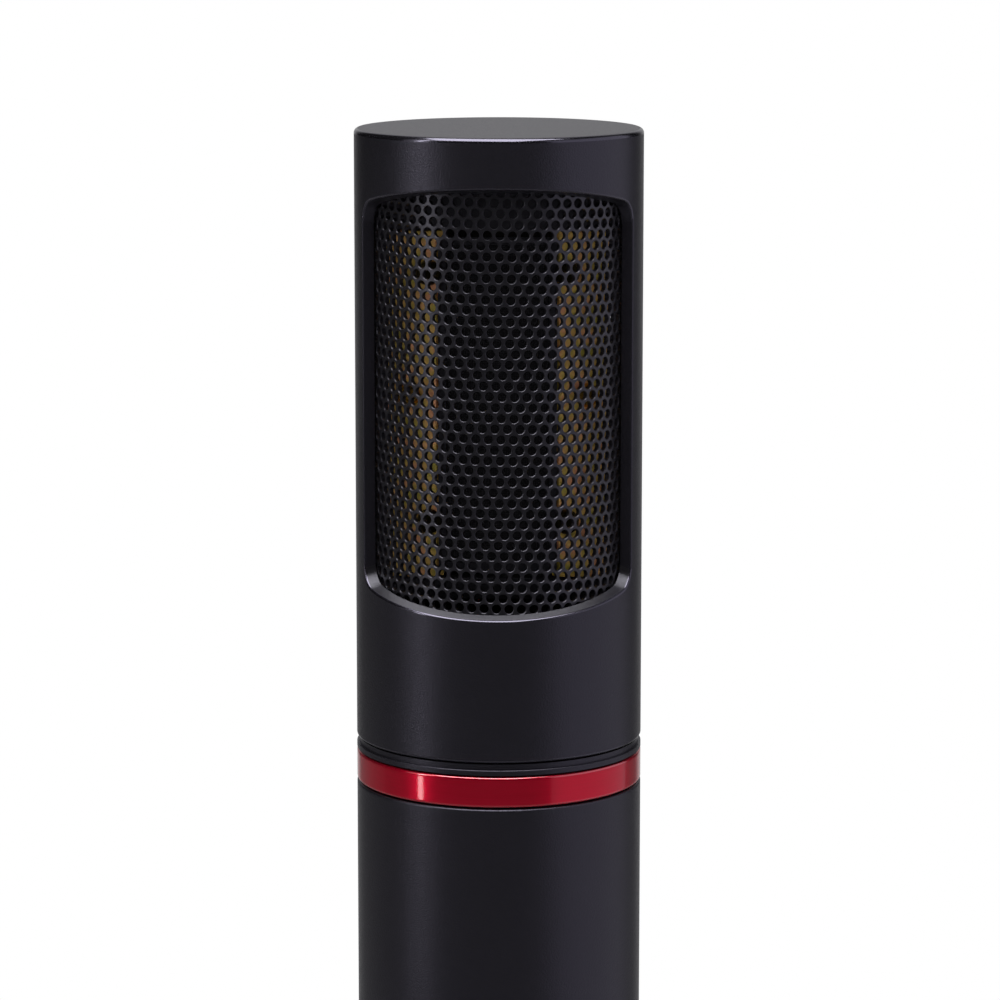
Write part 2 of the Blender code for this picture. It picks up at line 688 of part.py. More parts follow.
def motor_plates():
    half_width, half_depth = MOTOR_PLATE_HALF_WIDTH, MOTOR_HALF_DEPTH
    outline = rectangle(-half_width, half_width, -half_depth, half_depth)
    top = extruded("motor_top_plate", outline, TOP_PLATE_BASE, TOP_PLATE_TOP, "black_steel")
    base = extruded("motor_base_plate", outline, BASE_PLATE_BASE, BASE_PLATE_TOP, "black_steel")
    top_holes, base_holes = [], []
    bolt_hole = ISOLATOR_BOLT_RADIUS + FIT
    for side, sign in SIDES:
        x = sign * PLATE_SCREW_X
        top_holes.append(upright_hole(SHANK_HOLE, x, 0, TOP_PLATE_BASE, TOP_PLATE_TOP))
        base_holes.append(upright_hole(SHANK_HOLE, x, 0, BASE_PLATE_BASE, BASE_PLATE_TOP))
        bolt_x, lead_x = sign * ISOLATOR_X, sign * LEAD_X
        base_holes.append(upright_hole(bolt_hole, bolt_x, 0, BASE_PLATE_BASE, BASE_PLATE_TOP))
        base_holes.append(upright_hole(LEAD_HOLE, lead_x, LEAD_Y, BASE_PLATE_BASE, BASE_PLATE_TOP))
        long = SHANK_LENGTH + MOTOR_TOP_PLATE - MOTOR_PLATE
        screw(f"top_plate_screw_{side}", (x, 0, TOP_PLATE_TOP + FIT), UP, length=long)
        screw(f"base_plate_screw_{side}", (x, 0, BASE_PLATE_BASE - FIT), DOWN)
    drill(top, top_holes)
    drill(base, base_holes)


def screens():
    """Sheets of black silk on a frame, which lie in the side blocks' rebates under the rivet heads."""
    half_width = BLOCK_INNER + BLOCK_REBATE_WIDTH - FIT
    near = MOTOR_HALF_DEPTH - BLOCK_REBATE_DEPTH + FIT
    far = near + SCREEN_SHEET
    base, top = MOTOR_BASE + SCREEN_MARGIN, MOTOR_TOP - SCREEN_MARGIN
    extruded("front_screen", rectangle(-half_width, half_width, -far, -near), base, top, "black_silk")
    extruded("rear_screen", rectangle(-half_width, half_width, near, far), base, top, "black_silk")


def ribbon():
    """A foil strip, flat where it is clamped and folded in zigzag between the pole pieces."""
    folds = round((POLE_TOP - POLE_BASE) / (RIBBON_FOLD_PITCH / 2))
    fold_step = (POLE_TOP - POLE_BASE) / folds
    line = [(0, MOTOR_BASE + FIT), (0, POLE_BASE)]
    for fold in range(folds):
        line.append(((-1) ** fold * RIBBON_FOLD_DEPTH, POLE_BASE + (fold + 0.5) * fold_step))
    line += [(0, POLE_TOP), (0, MOTOR_TOP - FIT)]
    build = bmesh.new()
    verts = [build.verts.new((-RIBBON_HALF_WIDTH, y, z)) for y, z in line]
    edges = [build.edges.new(pair) for pair in zip(verts, verts[1:])]
    swept = bmesh.ops.extrude_edge_only(build, edges=edges)["geom"]
    moved = [thing for thing in swept if isinstance(thing, bmesh.types.BMVert)]
    bmesh.ops.translate(build, verts=moved, vec=(2 * RIBBON_HALF_WIDTH, 0, 0))
    bmesh.ops.recalc_face_normals(build, faces=build.faces)
    strip = piece("ribbon", mesh_of("ribbon", build), "aluminium_foil")
    foil = strip.modifiers.new("foil", "SOLIDIFY")
    foil.thickness = RIBBON_SHEET
    foil.offset = 0


def ribbon_clamps():
    half_width = BLOCK_INNER - FIT
    back = CLAMP_FACE + CLAMP_BAR_DEPTH
    for level, base in (("upper", POLE_TOP + FIT), ("lower", MOTOR_BASE)):
        middle = base + CLAMP_HEIGHT / 2
        block_outline = rectangle(-half_width, half_width, -CLAMP_HALF_DEPTH, -CLAMP_FACE)
        bar_outline = rectangle(-CLAMP_BAR_HALF_WIDTH, CLAMP_BAR_HALF_WIDTH, CLAMP_FACE, back)
        bar_base, bar_top = middle - CLAMP_BAR_HEIGHT / 2, middle + CLAMP_BAR_HEIGHT / 2
        block = extruded(f"clamp_block_{level}", block_outline, base, base + CLAMP_HEIGHT, "phenolic_board")
        bar = extruded(f"clamp_bar_{level}", bar_outline, bar_base, bar_top, "brass")
        holes = []
        for side, sign in SIDES:
            x = sign * CLAMP_SCREW_X
            holes.append(through_hole(CLAMP_SHANK_RADIUS + FIT, x, middle, CLAMP_HALF_DEPTH))
            screw(
                f"clamp_screw_{level}_{side}",
                (x, back + FIT, middle),
                BACK,
                "brass",
                CLAMP_SHANK_LENGTH,
                CLAMP_SHANK_RADIUS,
                CLAMP_HEAD_RADIUS,
            )
        drill(block, holes)
        drill(bar, holes)


def isolators():
    """Rubber sleeves between neck and motor, each with a bolt from below the neck's web."""
    base, top = PLATFORM + FIT, BASE_PLATE_BASE - FIT
    bore = ISOLATOR_BOLT_RADIUS + FIT
    end = (top - base) / 6
    profile = [
        (bore, top),
        (ISOLATOR_RADIUS, top),
        (ISOLATOR_RADIUS, top - end),
        (ISOLATOR_WAIST, (base + top) / 2),
        (ISOLATOR_RADIUS, base + end),
        (ISOLATOR_RADIUS, base),
        (bore, base),
    ]
    bolt_length = BASE_PLATE_TOP - (WEB_BASE - FIT) - FIT
    for side, sign in SIDES:
        x = sign * ISOLATOR_X
        sleeve = turned(f"isolator_{side}", profile, "rubber", SMALL_SIDES)
        sleeve.location.x = x
        seat = (x, 0, WEB_BASE - FIT)
        screw(f"isolator_bolt_{side}", seat, DOWN, length=bolt_length, radius=ISOLATOR_BOLT_RADIUS)


def chassis_rails():
    depth = SHANK_LENGTH + FIT
    for side, sign in SIDES:
        outline = rectangle(sign * RAIL_INNER, sign * RAIL_OUTER, -RAIL_HALF_DEPTH, RAIL_HALF_DEPTH)
        rail = extruded(f"chassis_rail_{side}", outline, RAIL_BASE, RAIL_TOP, "zinc_plated_steel")
        x = sign * RAIL_X
        drill(
            rail,
            [
                (SHANK_HOLE, (x, 0, RAIL_TOP - depth), (x, 0, RAIL_TOP + FIT)),
                (SHANK_HOLE, (x, 0, RAIL_BASE - FIT), (x, 0, RAIL_BASE + depth)),
            ],
        )
        screw(f"rail_screw_{side}", (x, 0, PLATFORM + FIT), UP, length=NECK_WEB + SHANK_LENGTH)
        shank = END_PLATE_TOP - END_SCREW_SEAT + SHANK_LENGTH
        screw(f"end_screw_{side}", (x, 0, END_SCREW_SEAT), DOWN, "black_steel", shank)


def output_transformer():
    """A shielded transformer that stands on a shelf between the rails, held by its stud and a nut."""
    profile = [
        (0, CAN_TOP),
        (CAN_RADIUS - EDGE_BREAK, CAN_TOP),
        (CAN_RADIUS, CAN_TOP - EDGE_BREAK),
        (CAN_RADIUS, CAN_BASE),
        (CAN_STUD_RADIUS, CAN_BASE),
        (CAN_STUD_RADIUS, CAN_BASE - CAN_STUD_LENGTH),
        (0, CAN_BASE - CAN_STUD_LENGTH),
    ]
    turned("transformer_can", profile, "nickel", TURNED_SIDES // 2)
    half_width = RAIL_INNER - FIT
    outline = rectangle(-half_width, half_width, -SHELF_HALF_DEPTH, SHELF_HALF_DEPTH)
    shelf = extruded("transformer_shelf", outline, SHELF_HEIGHT, SHELF_TOP, "zinc_plated_steel")
    stud_hole = CAN_STUD_RADIUS + FIT
    drill(shelf, [upright_hole(stud_hole, 0, 0, SHELF_HEIGHT, SHELF_TOP)])
    nut_top = SHELF_HEIGHT - FIT
    corners = [math.radians(60 * corner) for corner in range(6)]
    hexagon = [(NUT_RADIUS * math.cos(angle), NUT_RADIUS * math.sin(angle)) for angle in corners]
    nut = extruded("transformer_nut", hexagon, nut_top - NUT_HEIGHT, nut_top, "zinc_plated_steel")
    drill(nut, [upright_hole(stud_hole, 0, 0, nut_top - NUT_HEIGHT, nut_top)])


def connector():
    """End plate with the connector's cup, and the insert, pins and retaining ring in it."""
    seat_radius = CUP_RADIUS + CUP_SEAT
    outside = seat_radius + CUP_WALL
    plate_radius = BODY_BORE - FIT
    profile = [
        (seat_radius, RETAINER_TOP),
        (outside, RETAINER_TOP),
        (outside, END_PLATE_TOP),
        (plate_radius, END_PLATE_TOP),
        (plate_radius, END_PLATE_INSET),
        (CUP_RADIUS + CUP_MOUTH, END_PLATE_INSET),
        (CUP_RADIUS, END_PLATE_INSET + CUP_MOUTH),
        (CUP_RADIUS, CUP_TOP),
        (seat_radius, CUP_TOP),
    ]
    plate = turned("end_plate", profile, "black_anodised_aluminium", TURNED_SIDES)
    holes, recesses = [], []
    for _, sign in SIDES:
        x = sign * RAIL_X
        holes.append(upright_hole(SHANK_HOLE, x, 0, END_PLATE_INSET, END_PLATE_TOP))
        recesses.append((HEAD_RADIUS + FIT, (x, 0, END_PLATE_INSET - FIT), (x, 0, END_SCREW_SEAT + FIT)))
    drill(plate, holes)
    drill(plate, recesses, "recesses")

    insert_profile = [
        (0, INSERT_TOP),
        (INSERT_RADIUS, INSERT_TOP),
        (INSERT_RADIUS, INSERT_BASE),
        (0, INSERT_BASE),
    ]
    insert = turned("connector_insert", insert_profile, "connector_plastic", TURNED_SIDES // 2)
    retainer_profile = [
        (INSERT_RADIUS - RETAINER_WALL, RETAINER_TOP),
        (INSERT_RADIUS, RETAINER_TOP),
        (INSERT_RADIUS, RETAINER_BASE),
        (INSERT_RADIUS - RETAINER_WALL, RETAINER_BASE),
    ]
    turned("connector_retaining_ring", retainer_profile, "zinc_plated_steel", TURNED_SIDES // 2)

    tip = END_PLATE_INSET + PIN_RECESS
    pin_profile = [
        (0, PIN_TOP),
        (PIN_RADIUS, PIN_TOP),
        (PIN_RADIUS, tip + PIN_RADIUS / 2),
        (PIN_RADIUS / 2, tip),
        (0, tip),
    ]
    pin_holes = []
    for number, degrees in enumerate(PIN_ANGLES, start=1):
        angle = math.radians(degrees)
        x, y = PIN_CIRCLE * math.cos(angle), PIN_CIRCLE * math.sin(angle)
        pin = turned(f"connector_pin_{number}", pin_profile, "nickel", SMALL_SIDES)
        pin.location = (x, y, 0)
        pin_holes.append(upright_hole(PIN_RADIUS + FIT, x, y, INSERT_BASE, INSERT_TOP))
        output_lead(number, x, y)
    drill(insert, pin_holes)


def output_lead(number, x, y):
    """A wire over the transformer's front edge, down past its shelf and onto the tail of a pin."""
    stops = [
        (x, -CAN_RADIUS / 2, CAN_TOP + FIT),
        (x, -CAN_RADIUS / 2, CAN_TOP + 4 * LEAD_RADIUS),
        (x, (OUTPUT_LEAD_Y - CAN_RADIUS) / 2, CAN_TOP + 6 * LEAD_RADIUS),
        (x, OUTPUT_LEAD_Y, CAN_TOP - 5 * LEAD_RADIUS),
        (x, OUTPUT_LEAD_Y, SHELF_HEIGHT),
        (x, (OUTPUT_LEAD_Y + y) / 2, PIN_TOP + 10 * LEAD_RADIUS),
        (x, y, PIN_TOP + 4 * LEAD_RADIUS),
        (x, y, PIN_TOP + FIT),
    ]
    lead(f"output_lead_{number}", stops, "black_insulation")


def ribbon_leads():
    """Wires from the clamp bars down behind the ribbon, through base plate and neck, to the transformer."""
    start_y = CLAMP_FACE + CLAMP_BAR_DEPTH + FIT
    for level, base, sign in (("upper", POLE_TOP + FIT, 1), ("lower", MOTOR_BASE, -1)):
        middle = base + CLAMP_HEIGHT / 2
        x = sign * LEAD_X
        stops = [
            (0, start_y, middle),
            (0, start_y + 2 * LEAD_RADIUS, middle),
            (x, LEAD_Y, middle - 4 * LEAD_RADIUS),
            (x, LEAD_Y, BASE_PLATE_TOP),
            (x, LEAD_Y, CAN_TOP + FIT),
        ]
        lead(f"ribbon_lead_{level}", stops, "red_insulation")


clear_scene()
PARTS = new_collection("ribbon_microphone")
CUTTERS = new_collection("ribbon_microphone_cutters")

head_shell()
grille()
head_collar()
neck()
casing_ring("red_ring", RING_BASE, RING_TOP, BODY_BORE, "red_anodised_aluminium")
casing_ring("body_tube", 0, BODY_LENGTH, BODY_BORE, "black_anodised_aluminium")
side_blocks()
magnets_and_poles()
motor_plates()
screens()
ribbon()
ribbon_clamps()
isolators()
chassis_rails()
output_transformer()
connector()
ribbon_leads()
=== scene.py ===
"""Ribbon microphone: its looks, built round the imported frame.

Named sizes are in millimetres and become metres where a mesh is made. The front faces -Y, +Z is up,
and the origin is the centre of the lower end.
"""

import math

import bpy
from mathutils import Matrix, Vector
from mathutils.geometry import delaunay_2d_cdt


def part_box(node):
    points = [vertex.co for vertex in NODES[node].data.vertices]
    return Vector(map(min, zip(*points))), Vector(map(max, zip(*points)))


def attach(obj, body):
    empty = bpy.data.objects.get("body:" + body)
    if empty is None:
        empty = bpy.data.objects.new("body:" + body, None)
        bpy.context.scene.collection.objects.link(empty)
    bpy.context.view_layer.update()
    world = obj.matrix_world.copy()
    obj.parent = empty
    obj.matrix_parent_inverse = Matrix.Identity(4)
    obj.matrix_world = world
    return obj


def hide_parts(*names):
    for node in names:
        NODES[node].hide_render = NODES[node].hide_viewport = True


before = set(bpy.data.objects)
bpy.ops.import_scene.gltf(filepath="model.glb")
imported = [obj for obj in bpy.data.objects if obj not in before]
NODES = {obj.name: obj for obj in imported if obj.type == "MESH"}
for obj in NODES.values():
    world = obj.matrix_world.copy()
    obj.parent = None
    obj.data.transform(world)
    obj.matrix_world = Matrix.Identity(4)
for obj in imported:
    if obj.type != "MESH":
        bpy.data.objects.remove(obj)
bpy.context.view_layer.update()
scene = bpy.context.scene

MM = 0.001
X, Y, Z = 0, 1, 2
SIDES = ("left", "right")


def span(node, axis):
    """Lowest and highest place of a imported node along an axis, in millimetres to a thousandth."""
    low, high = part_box(node)
    return round(low[axis] / MM, 3), round(high[axis] / MM, 3)


def middle_of(node, axis):
    """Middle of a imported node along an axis."""
    return sum(span(node, axis)) / 2


def half_of(node, axis):
    """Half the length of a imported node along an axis."""
    low, high = span(node, axis)
    return (high - low) / 2


# Casing
_, CASING = span("head_shell", X)
HEAD_BASE, HEAD_TOP = span("head_shell", Z)
WALL = 2.0
TOP_WALL = 2.5
BORE = CASING - WALL
CEILING = HEAD_TOP - TOP_WALL
TOP_ROUND = 0.8
EDGE_BREAK = 0.4
CHAMFER = 0.3
# Clearance between pieces that fit together, and the radius of what fits the bore
FIT = 0.3
SPIGOT = BORE - FIT
# A loop this far from a rounded edge keeps the shading of the wall beside it straight
SUPPORT = 0.25
# Broken edges of the casing: how far in they reach, and the bounds of their faces' lean
EDGE_BAND = 0.85
UPRIGHT, LEVEL = 0.08, 0.97
# Sides of a large, a middling and a small turned piece
TURNED = 192
MIDDLING = 96
SMALL = 40
QUARTER_STEPS = 6

# Window, measured round the outside of the head
WINDOW_CENTRE = 156.65
WINDOW_HEIGHT = 70.3
WINDOW_HALF_WIDTH = 28.3
CROWN_RADIUS = 116.0
WINDOW_CORNER = 4.0
WINDOW_FLARE = 0.6
WINDOW_ROUND = 0.3
CROWN_STEPS = 24
CORNER_STEPS = 8
# The outer edge's round: its steps, and the degrees of each. Its last slope runs on outwards.
ROUND_STEPS = 5
ROUND_STEP = 14
# How far the windows' tool runs past the wall, inside and outside
TOOL_INSIDE = 1.0
TOOL_OUTSIDE = 0.2
# Degrees that the head is turned, so that no edge of its facets lies on an edge of the windows
FACET_TURN = 0.71
# A cut face is the sill's where the upward part of its normal is more than this
SILL_LEAN = 0.2

# Perforated sheet: pitch round the head, pitch of the rows, and where the first hole sits
GRILLE = SPIGOT
SHEET = 0.8
GRILLE_BASE = span("head_collar", Z)[1] + FIT
GRILLE_TOP = CEILING - FIT
SEAM = 0.5
HOLE_PITCH = 2.059
ROW_PITCH = 1.7465
FIRST_ARC = 1.0
FIRST_LEVEL = 157.97
ROW_TILT = -0.026
# The rear zone is punched a quarter pitch on, so few of its holes stand behind a front one
REAR_STEP = HOLE_PITCH / 4
HOLE = 0.77
RIM_WIDTH = 0.07
RIM_DEPTH = 0.07
HOLE_CORNERS = 14
ZONE_HALF_WIDTH = 27.2
ZONE_BASE = 119.6
ZONE_TOP = 193.6
# Rows and columns that more than cover both zones
ROWS = range(-30, 30)
COLUMNS = range(-30, 80)
# Steps round the sheet, and how far its upright creases stay from the zones
SHEET_STEPS = 96
CREASE_GAP = 1.2

# Threads: the head's pitch, a ridge's width at its root as a share of its pitch, and its crest's as a
# share of its root's
PITCH = 1.5
RIDGE_ROOT = 0.82
RIDGE_CREST = 0.2
# How far a wound ridge is sunk into the wall that carries it
BITE = 0.05

# Screws
SCREW_HEAD = 1.5
SOCKET_DEPTH = 1.0
POINT_LENGTH = 0.25
LONGEST_THREAD = 8.0
RUN_OUT = 1.2
# Shares of a head's radius, and of a thread's
SOCKET = 0.52
CORE, ROOT, POINT = 0.82, 0.8, 0.5
# Radius and pitch of each thread
FINE_THREAD = (0.8, 0.35)
SMALL_THREAD = (1.0, 0.4)
BOLT_THREAD = (1.5, 0.5)
SCREW_HOLE = 1.3
BOLT_HOLE = 1.8

# Inputs of a map that takes a noise texture, whose values keep mostly to this range
NOISE = {"From Min": 0.3, "From Max": 0.7}


def pick(made):
    """Makes one piece the only selected one."""
    bpy.ops.object.select_all(action="DESELECT")
    made.select_set(True)
    bpy.context.view_layer.objects.active = made


def opened(name):
    """Names the shape just added, puts its place in its mesh and opens it with all of it selected."""
    made = bpy.context.object
    made.name = made.data.name = name
    bpy.ops.object.transform_apply()
    bpy.ops.object.mode_set(mode="EDIT")
    bpy.ops.mesh.select_all(action="SELECT")
    return made


def turned(name, profile, sides=TURNED, solid=False):
    """Draws a ring out along a profile of (radius, level) points.

    A solid is capped at its first and last ring, and any other profile closes on itself.
    """
    radius, level = profile[0]
    bpy.ops.object.select_all(action="DESELECT")
    bpy.ops.mesh.primitive_circle_add(vertices=sides, radius=radius * MM, location=(0, 0, level * MM))
    made = opened(name)
    for next_radius, next_level in profile[1:] + ([] if solid else profile[:1]):
        step = (0, 0, (next_level - level) * MM)
        bpy.ops.mesh.extrude_region_move(TRANSFORM_OT_translate={"value": step})
        share = next_radius / radius
        bpy.ops.transform.resize(value=(share, share, 1), center_override=(0, 0, 0))
        radius, level = next_radius, next_level
    bpy.ops.mesh.select_all(action="SELECT")
    bpy.ops.mesh.remove_doubles(threshold=1e-7)
    if solid:
        bpy.ops.mesh.fill_holes(sides=0)
    bpy.ops.mesh.normals_make_consistent(inside=False)
    bpy.ops.object.mode_set(mode="OBJECT")
    return made


def quarter(across, level, radius, start):
    """Profile points of a quarter round about a point, which runs clockwise from a start in degrees."""
    points = []
    for step in range(QUARTER_STEPS + 1):
        angle = math.radians(start - 90 * step / QUARTER_STEPS)
        points.append((across + radius * math.cos(angle), level + radius * math.sin(angle)))
    return points


def close(made, sides=0):
    """Clears a piece's loose points, fills its open ends and turns its faces outwards."""
    pick(made)
    bpy.ops.object.mode_set(mode="EDIT")
    bpy.ops.mesh.select_all(action="SELECT")
    bpy.ops.mesh.delete_loose()
    bpy.ops.mesh.select_all(action="SELECT")
    bpy.ops.mesh.fill_holes(sides=sides)
    bpy.ops.mesh.normals_make_consistent(inside=False)
    bpy.ops.object.mode_set(mode="OBJECT")


def cut(made, tool):
    """Cuts a tool out of a piece and clears the tool away."""
    pick(made)
    step = made.modifiers.new("cut", "BOOLEAN")
    step.operation = "DIFFERENCE"
    step.solver = "EXACT"
    step.object = tool
    bpy.ops.object.modifier_apply(modifier=step.name)
    bpy.data.objects.remove(tool)


def join(made, *others):
    """Adds other closed bodies to a piece's mesh."""
    pick(made)
    for other in others:
        other.select_set(True)
    bpy.ops.object.join()


def drills(places):
    """One tool of several drills: (radius, x, y, base, top) of each."""
    made = []
    for radius, x, y, base, top in places:
        made.append(turned("drill", [(radius, top), (radius, base)], SMALL, solid=True))
        made[-1].data.transform(Matrix.Translation((x * MM, y * MM, 0)))
    join(*made)
    return made[0]


def copied(made, name, place):
    """A copy with its own mesh, with its place in that mesh."""
    copy = made.copy()
    copy.data = made.data.copy()
    copy.name = copy.data.name = name
    scene.collection.objects.link(copy)
    copy.data.transform(place)
    return copy


def from_points(name, points, faces):
    """A mesh piece from points in millimetres."""
    data = bpy.data.meshes.new(name)
    data.from_pydata([Vector(point) * MM for point in points], [], faces)
    made = bpy.data.objects.new(name, data)
    scene.collection.objects.link(made)
    return made


def upright_sheet(name, columns, rows, width, height, centre):
    """A flat grid that faces the front, left in edit mode with all of it selected."""
    bpy.ops.object.select_all(action="DESELECT")
    bpy.ops.mesh.primitive_grid_add(
        x_subdivisions=columns, y_subdivisions=rows, size=MM, rotation=(math.pi / 2, 0, 0)
    )
    made = opened(name)
    bpy.ops.transform.resize(value=(width, 1, height), center_override=(0, 0, 0))
    bpy.ops.transform.translate(value=Vector(centre) * MM)
    return made


def thicken(made, thickness):
    """Gives an open sheet its thickness, half of it on each side."""
    wall = made.modifiers.new("wall", "SOLIDIFY")
    wall.thickness = thickness * MM
    wall.offset = 0.0
    bpy.ops.object.modifier_apply(modifier=wall.name)


def settle(made, body, *nodes, slot=None, finish=None, edge=None, angle=20):
    """Gives a finished piece its shading, finish and place in the frame.

    Its slot is that of the node it stands for, if no other is given. The broken edges of the casing, whose
    faces lean between upright and level, can have a finish of their own.
    """
    slot = slot or NODES[nodes[0]].data.materials[0].name
    pick(made)
    bpy.ops.object.shade_smooth_by_angle(angle=math.radians(angle))
    made.data.materials.clear()
    made.data.materials.append(finish or FINISH[slot])
    if edge:
        made.data.materials.append(edge)
        for face in made.data.polygons:
            outside = face.center.xy.length > (CASING - EDGE_BAND) * MM
            face.material_index = int(outside and UPRIGHT < abs(face.normal.z) < LEVEL)
    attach(made, body)
    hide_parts(*nodes)


def place_copies(model, prefix, nodes, finish=None):
    """Puts a copy of a model, drawn about its own middle, at the middle of each of the body's nodes."""
    for node in nodes:
        low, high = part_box(node)
        made = copied(model, prefix + node, Matrix.Translation((low + high) / 2))
        settle(made, "body", node, finish=finish)
    bpy.data.objects.remove(model)


def on_cylinder(radius, turn, level):
    """A point at a radius and level, turned from the front to the right."""
    return (radius * math.sin(turn), -radius * math.cos(turn), level)


def linear(colour):
    """An sRGB hex colour as linear red, green, blue and alpha."""
    shares = [int(colour[i : i + 2], 16) / 255 for i in (0, 2, 4)]
    return [s / 12.92 if s <= 0.04045 else ((s + 0.055) / 1.055) ** 2.4 for s in shares] + [1.0]


def add(tree, kind, inputs=None, **settings):
    """Adds a node with its settings, and gives each named input a value or a link."""
    made = tree.nodes.new("ShaderNode" + kind)
    for name, value in settings.items():
        setattr(made, name, value)
    for name, value in (inputs or {}).items():
        if isinstance(value, bpy.types.NodeSocket):
            tree.links.new(value, made.inputs[name])
        else:
            made.inputs[name].default_value = value
    return made


def empty_tree(owner):
    """The node tree of a material or world, with nothing in it."""
    owner.use_nodes = True
    owner.node_tree.nodes.clear()
    return owner.node_tree


def material(name, recipe, *values):
    """A material whose shader takes the sockets that a recipe works out.

    A recipe adds to the material's tree, and its patterns read the place on the piece.
    """
    made = bpy.data.materials.new(name)
    tree = empty_tree(made)
    place = add(tree, "TexCoord").outputs["Object"]
    shader = add(tree, "BsdfPrincipled", recipe(tree, place, *values))
    add(tree, "OutputMaterial", {"Surface": shader.outputs["BSDF"]})
    return made


def per_mm(size):
    """Noise scale, per metre, of a pattern whose grain is this many millimetres wide."""
    return 1 / (size * MM)


def noise(tree, place, size, detail=2.0):
    """A pattern of noise whose grain is this many millimetres wide."""
    return add(tree, "TexNoise", {"Vector": place, "Scale": per_mm(size), "Detail": detail}).outputs["Fac"]


def stretched(tree, place, *shares):
    """Places scaled along X, Y and Z, for a pattern that is drawn out along an axis."""
    return add(tree, "Mapping", {"Vector": place, "Scale": shares}).outputs["Vector"]


def mixed(tree, pattern, dark, light):
    """A colour that goes from dark to light with a pattern."""
    tones = {0: pattern, 6: linear(dark), 7: linear(light)}
    return add(tree, "Mix", tones, data_type="RGBA").outputs[2]


def ranged(tree, pattern, low, high):
    """A value that goes from low to high with a pattern of noise."""
    values = {"Value": pattern, "To Min": low, "To Max": high}
    return add(tree, "MapRange", NOISE | values).outputs["Result"]


def relief(tree, pattern, strength, depth):
    """A normal that follows a pattern as a relief this many millimetres deep."""
    bump = {"Height": pattern, "Strength": strength, "Distance": depth * MM}
    return add(tree, "Bump", bump).outputs["Normal"]


def anodised_black(tree, place, smooth, rough, grain, film=1.77):
    """Aluminium dyed black in its oxide: a deep black whose clear film reflects like glass.

    The blasted grit is about 0.05 mm across. It is drawn 0.28 mm across so that it shows.
    """
    grit = noise(tree, place, 0.28)
    cloud = noise(tree, place, 14.0, 3.0)
    return {
        "Base Color": mixed(tree, cloud, "050506", "09080a"),
        "Roughness": ranged(tree, grit, smooth, rough),
        "IOR": film,
        "Specular Tint": linear("eae4ff"),
        "Normal": relief(tree, grit, grain, 0.05),
    }


def milled_black(tree, place):
    """The sills of the windows, dyed black over the cutter's lines.

    The lines run along the cut, 0.12 mm apart, so the sill shines across them under the light above.
    """
    level = add(tree, "VectorMath", {0: place, 1: (1.0, 1.0, 0.0)}, operation="MULTIPLY")
    depth = add(tree, "VectorMath", {0: level.outputs["Vector"]}, operation="LENGTH")
    strokes = {"W": depth.outputs["Value"], "Scale": per_mm(0.12), "Detail": 1.0}
    lines = add(tree, "TexNoise", strokes, noise_dimensions="1D")
    along = add(tree, "Tangent", direction_type="RADIAL", axis="Y")
    return {
        "Base Color": linear("0b0a0c"),
        "Roughness": ranged(tree, lines.outputs["Fac"], 0.38, 0.48),
        "IOR": 1.95,
        "Specular Tint": linear("f4f2ff"),
        "Anisotropic": 0.9,
        "Anisotropic Rotation": 0.25,
        "Tangent": along.outputs["Tangent"],
    }


def anodised_red(tree, place, film):
    """Turned aluminium, dyed red in its oxide: bright metal seen through a clear red film.

    The lathe's fine lines run round it, about 0.1 mm apart. They are drawn 0.2 mm apart so that they
    show, and the film's own waves, 0.25 mm long, break its highlights up into glints.
    """
    lines = noise(tree, stretched(tree, place, 0.02, 0.02, 1.0), 0.2)
    waves = noise(tree, place, 0.25)
    return {
        "Base Color": mixed(tree, lines, "d6002a", "e40036"),
        "Metallic": 0.92,
        "Roughness": 0.28,
        "Coat Weight": 1.0,
        "Coat IOR": film,
        "Coat Roughness": 0.06,
        "Coat Normal": relief(tree, waves, 0.15, 0.03),
        "Normal": relief(tree, lines, 0.06, 0.02),
    }


def coated_steel(tree, place, dark, light, roughness):
    """Steel under a baked black coat, whose slight orange peel is 0.5 mm across."""
    peel = noise(tree, place, 0.5)
    return {
        "Base Color": mixed(tree, peel, dark, light),
        "Roughness": roughness,
        "IOR": 1.77,
        "Specular Tint": linear("f0ecff"),
        "Normal": relief(tree, peel, 0.1, 0.03),
    }


def passivated_gold(tree, place):
    """Zinc plate with a yellow chromate film: gold that drifts to olive and copper.

    The patches are about 3 mm wide. The lines of the rolled steel under them are about 0.1 mm apart,
    and are drawn 0.35 mm apart so that they show.
    """
    drift = noise(tree, place, 3.0, 3.0)
    lines = noise(tree, stretched(tree, place, 1.0, 1.0, 0.05), 0.35)
    tone = add(tree, "ValToRGB", {"Fac": drift})
    stops = tone.color_ramp.elements
    stops[0].position, stops[0].color = 0.36, linear("a1933f")
    stops[1].position, stops[1].color = 0.64, linear("d0916b")
    stops.new(0.5).color = linear("c6a056")
    return {
        "Base Color": tone.outputs["Color"],
        "Metallic": 0.3,
        "Roughness": ranged(tree, lines, 0.32, 0.5),
        "Normal": relief(tree, lines, 0.15, 0.03),
    }


def plain_metal(tree, place, dark, light, roughness, grain):
    """A bare or plated metal with fine drawn lines along Z and a clouding 6 mm wide.

    Such lines are under 0.1 mm apart. They are drawn as wide as the grain so that they show.
    """
    lines = noise(tree, stretched(tree, place, 1.0, 1.0, 0.06), grain)
    cloud = noise(tree, place, 6.0, 3.0)
    return {
        "Base Color": mixed(tree, cloud, dark, light),
        "Metallic": 1.0,
        "Roughness": ranged(tree, lines, roughness - 0.06, roughness + 0.06),
        "Normal": relief(tree, lines, 0.1, 0.02),
    }


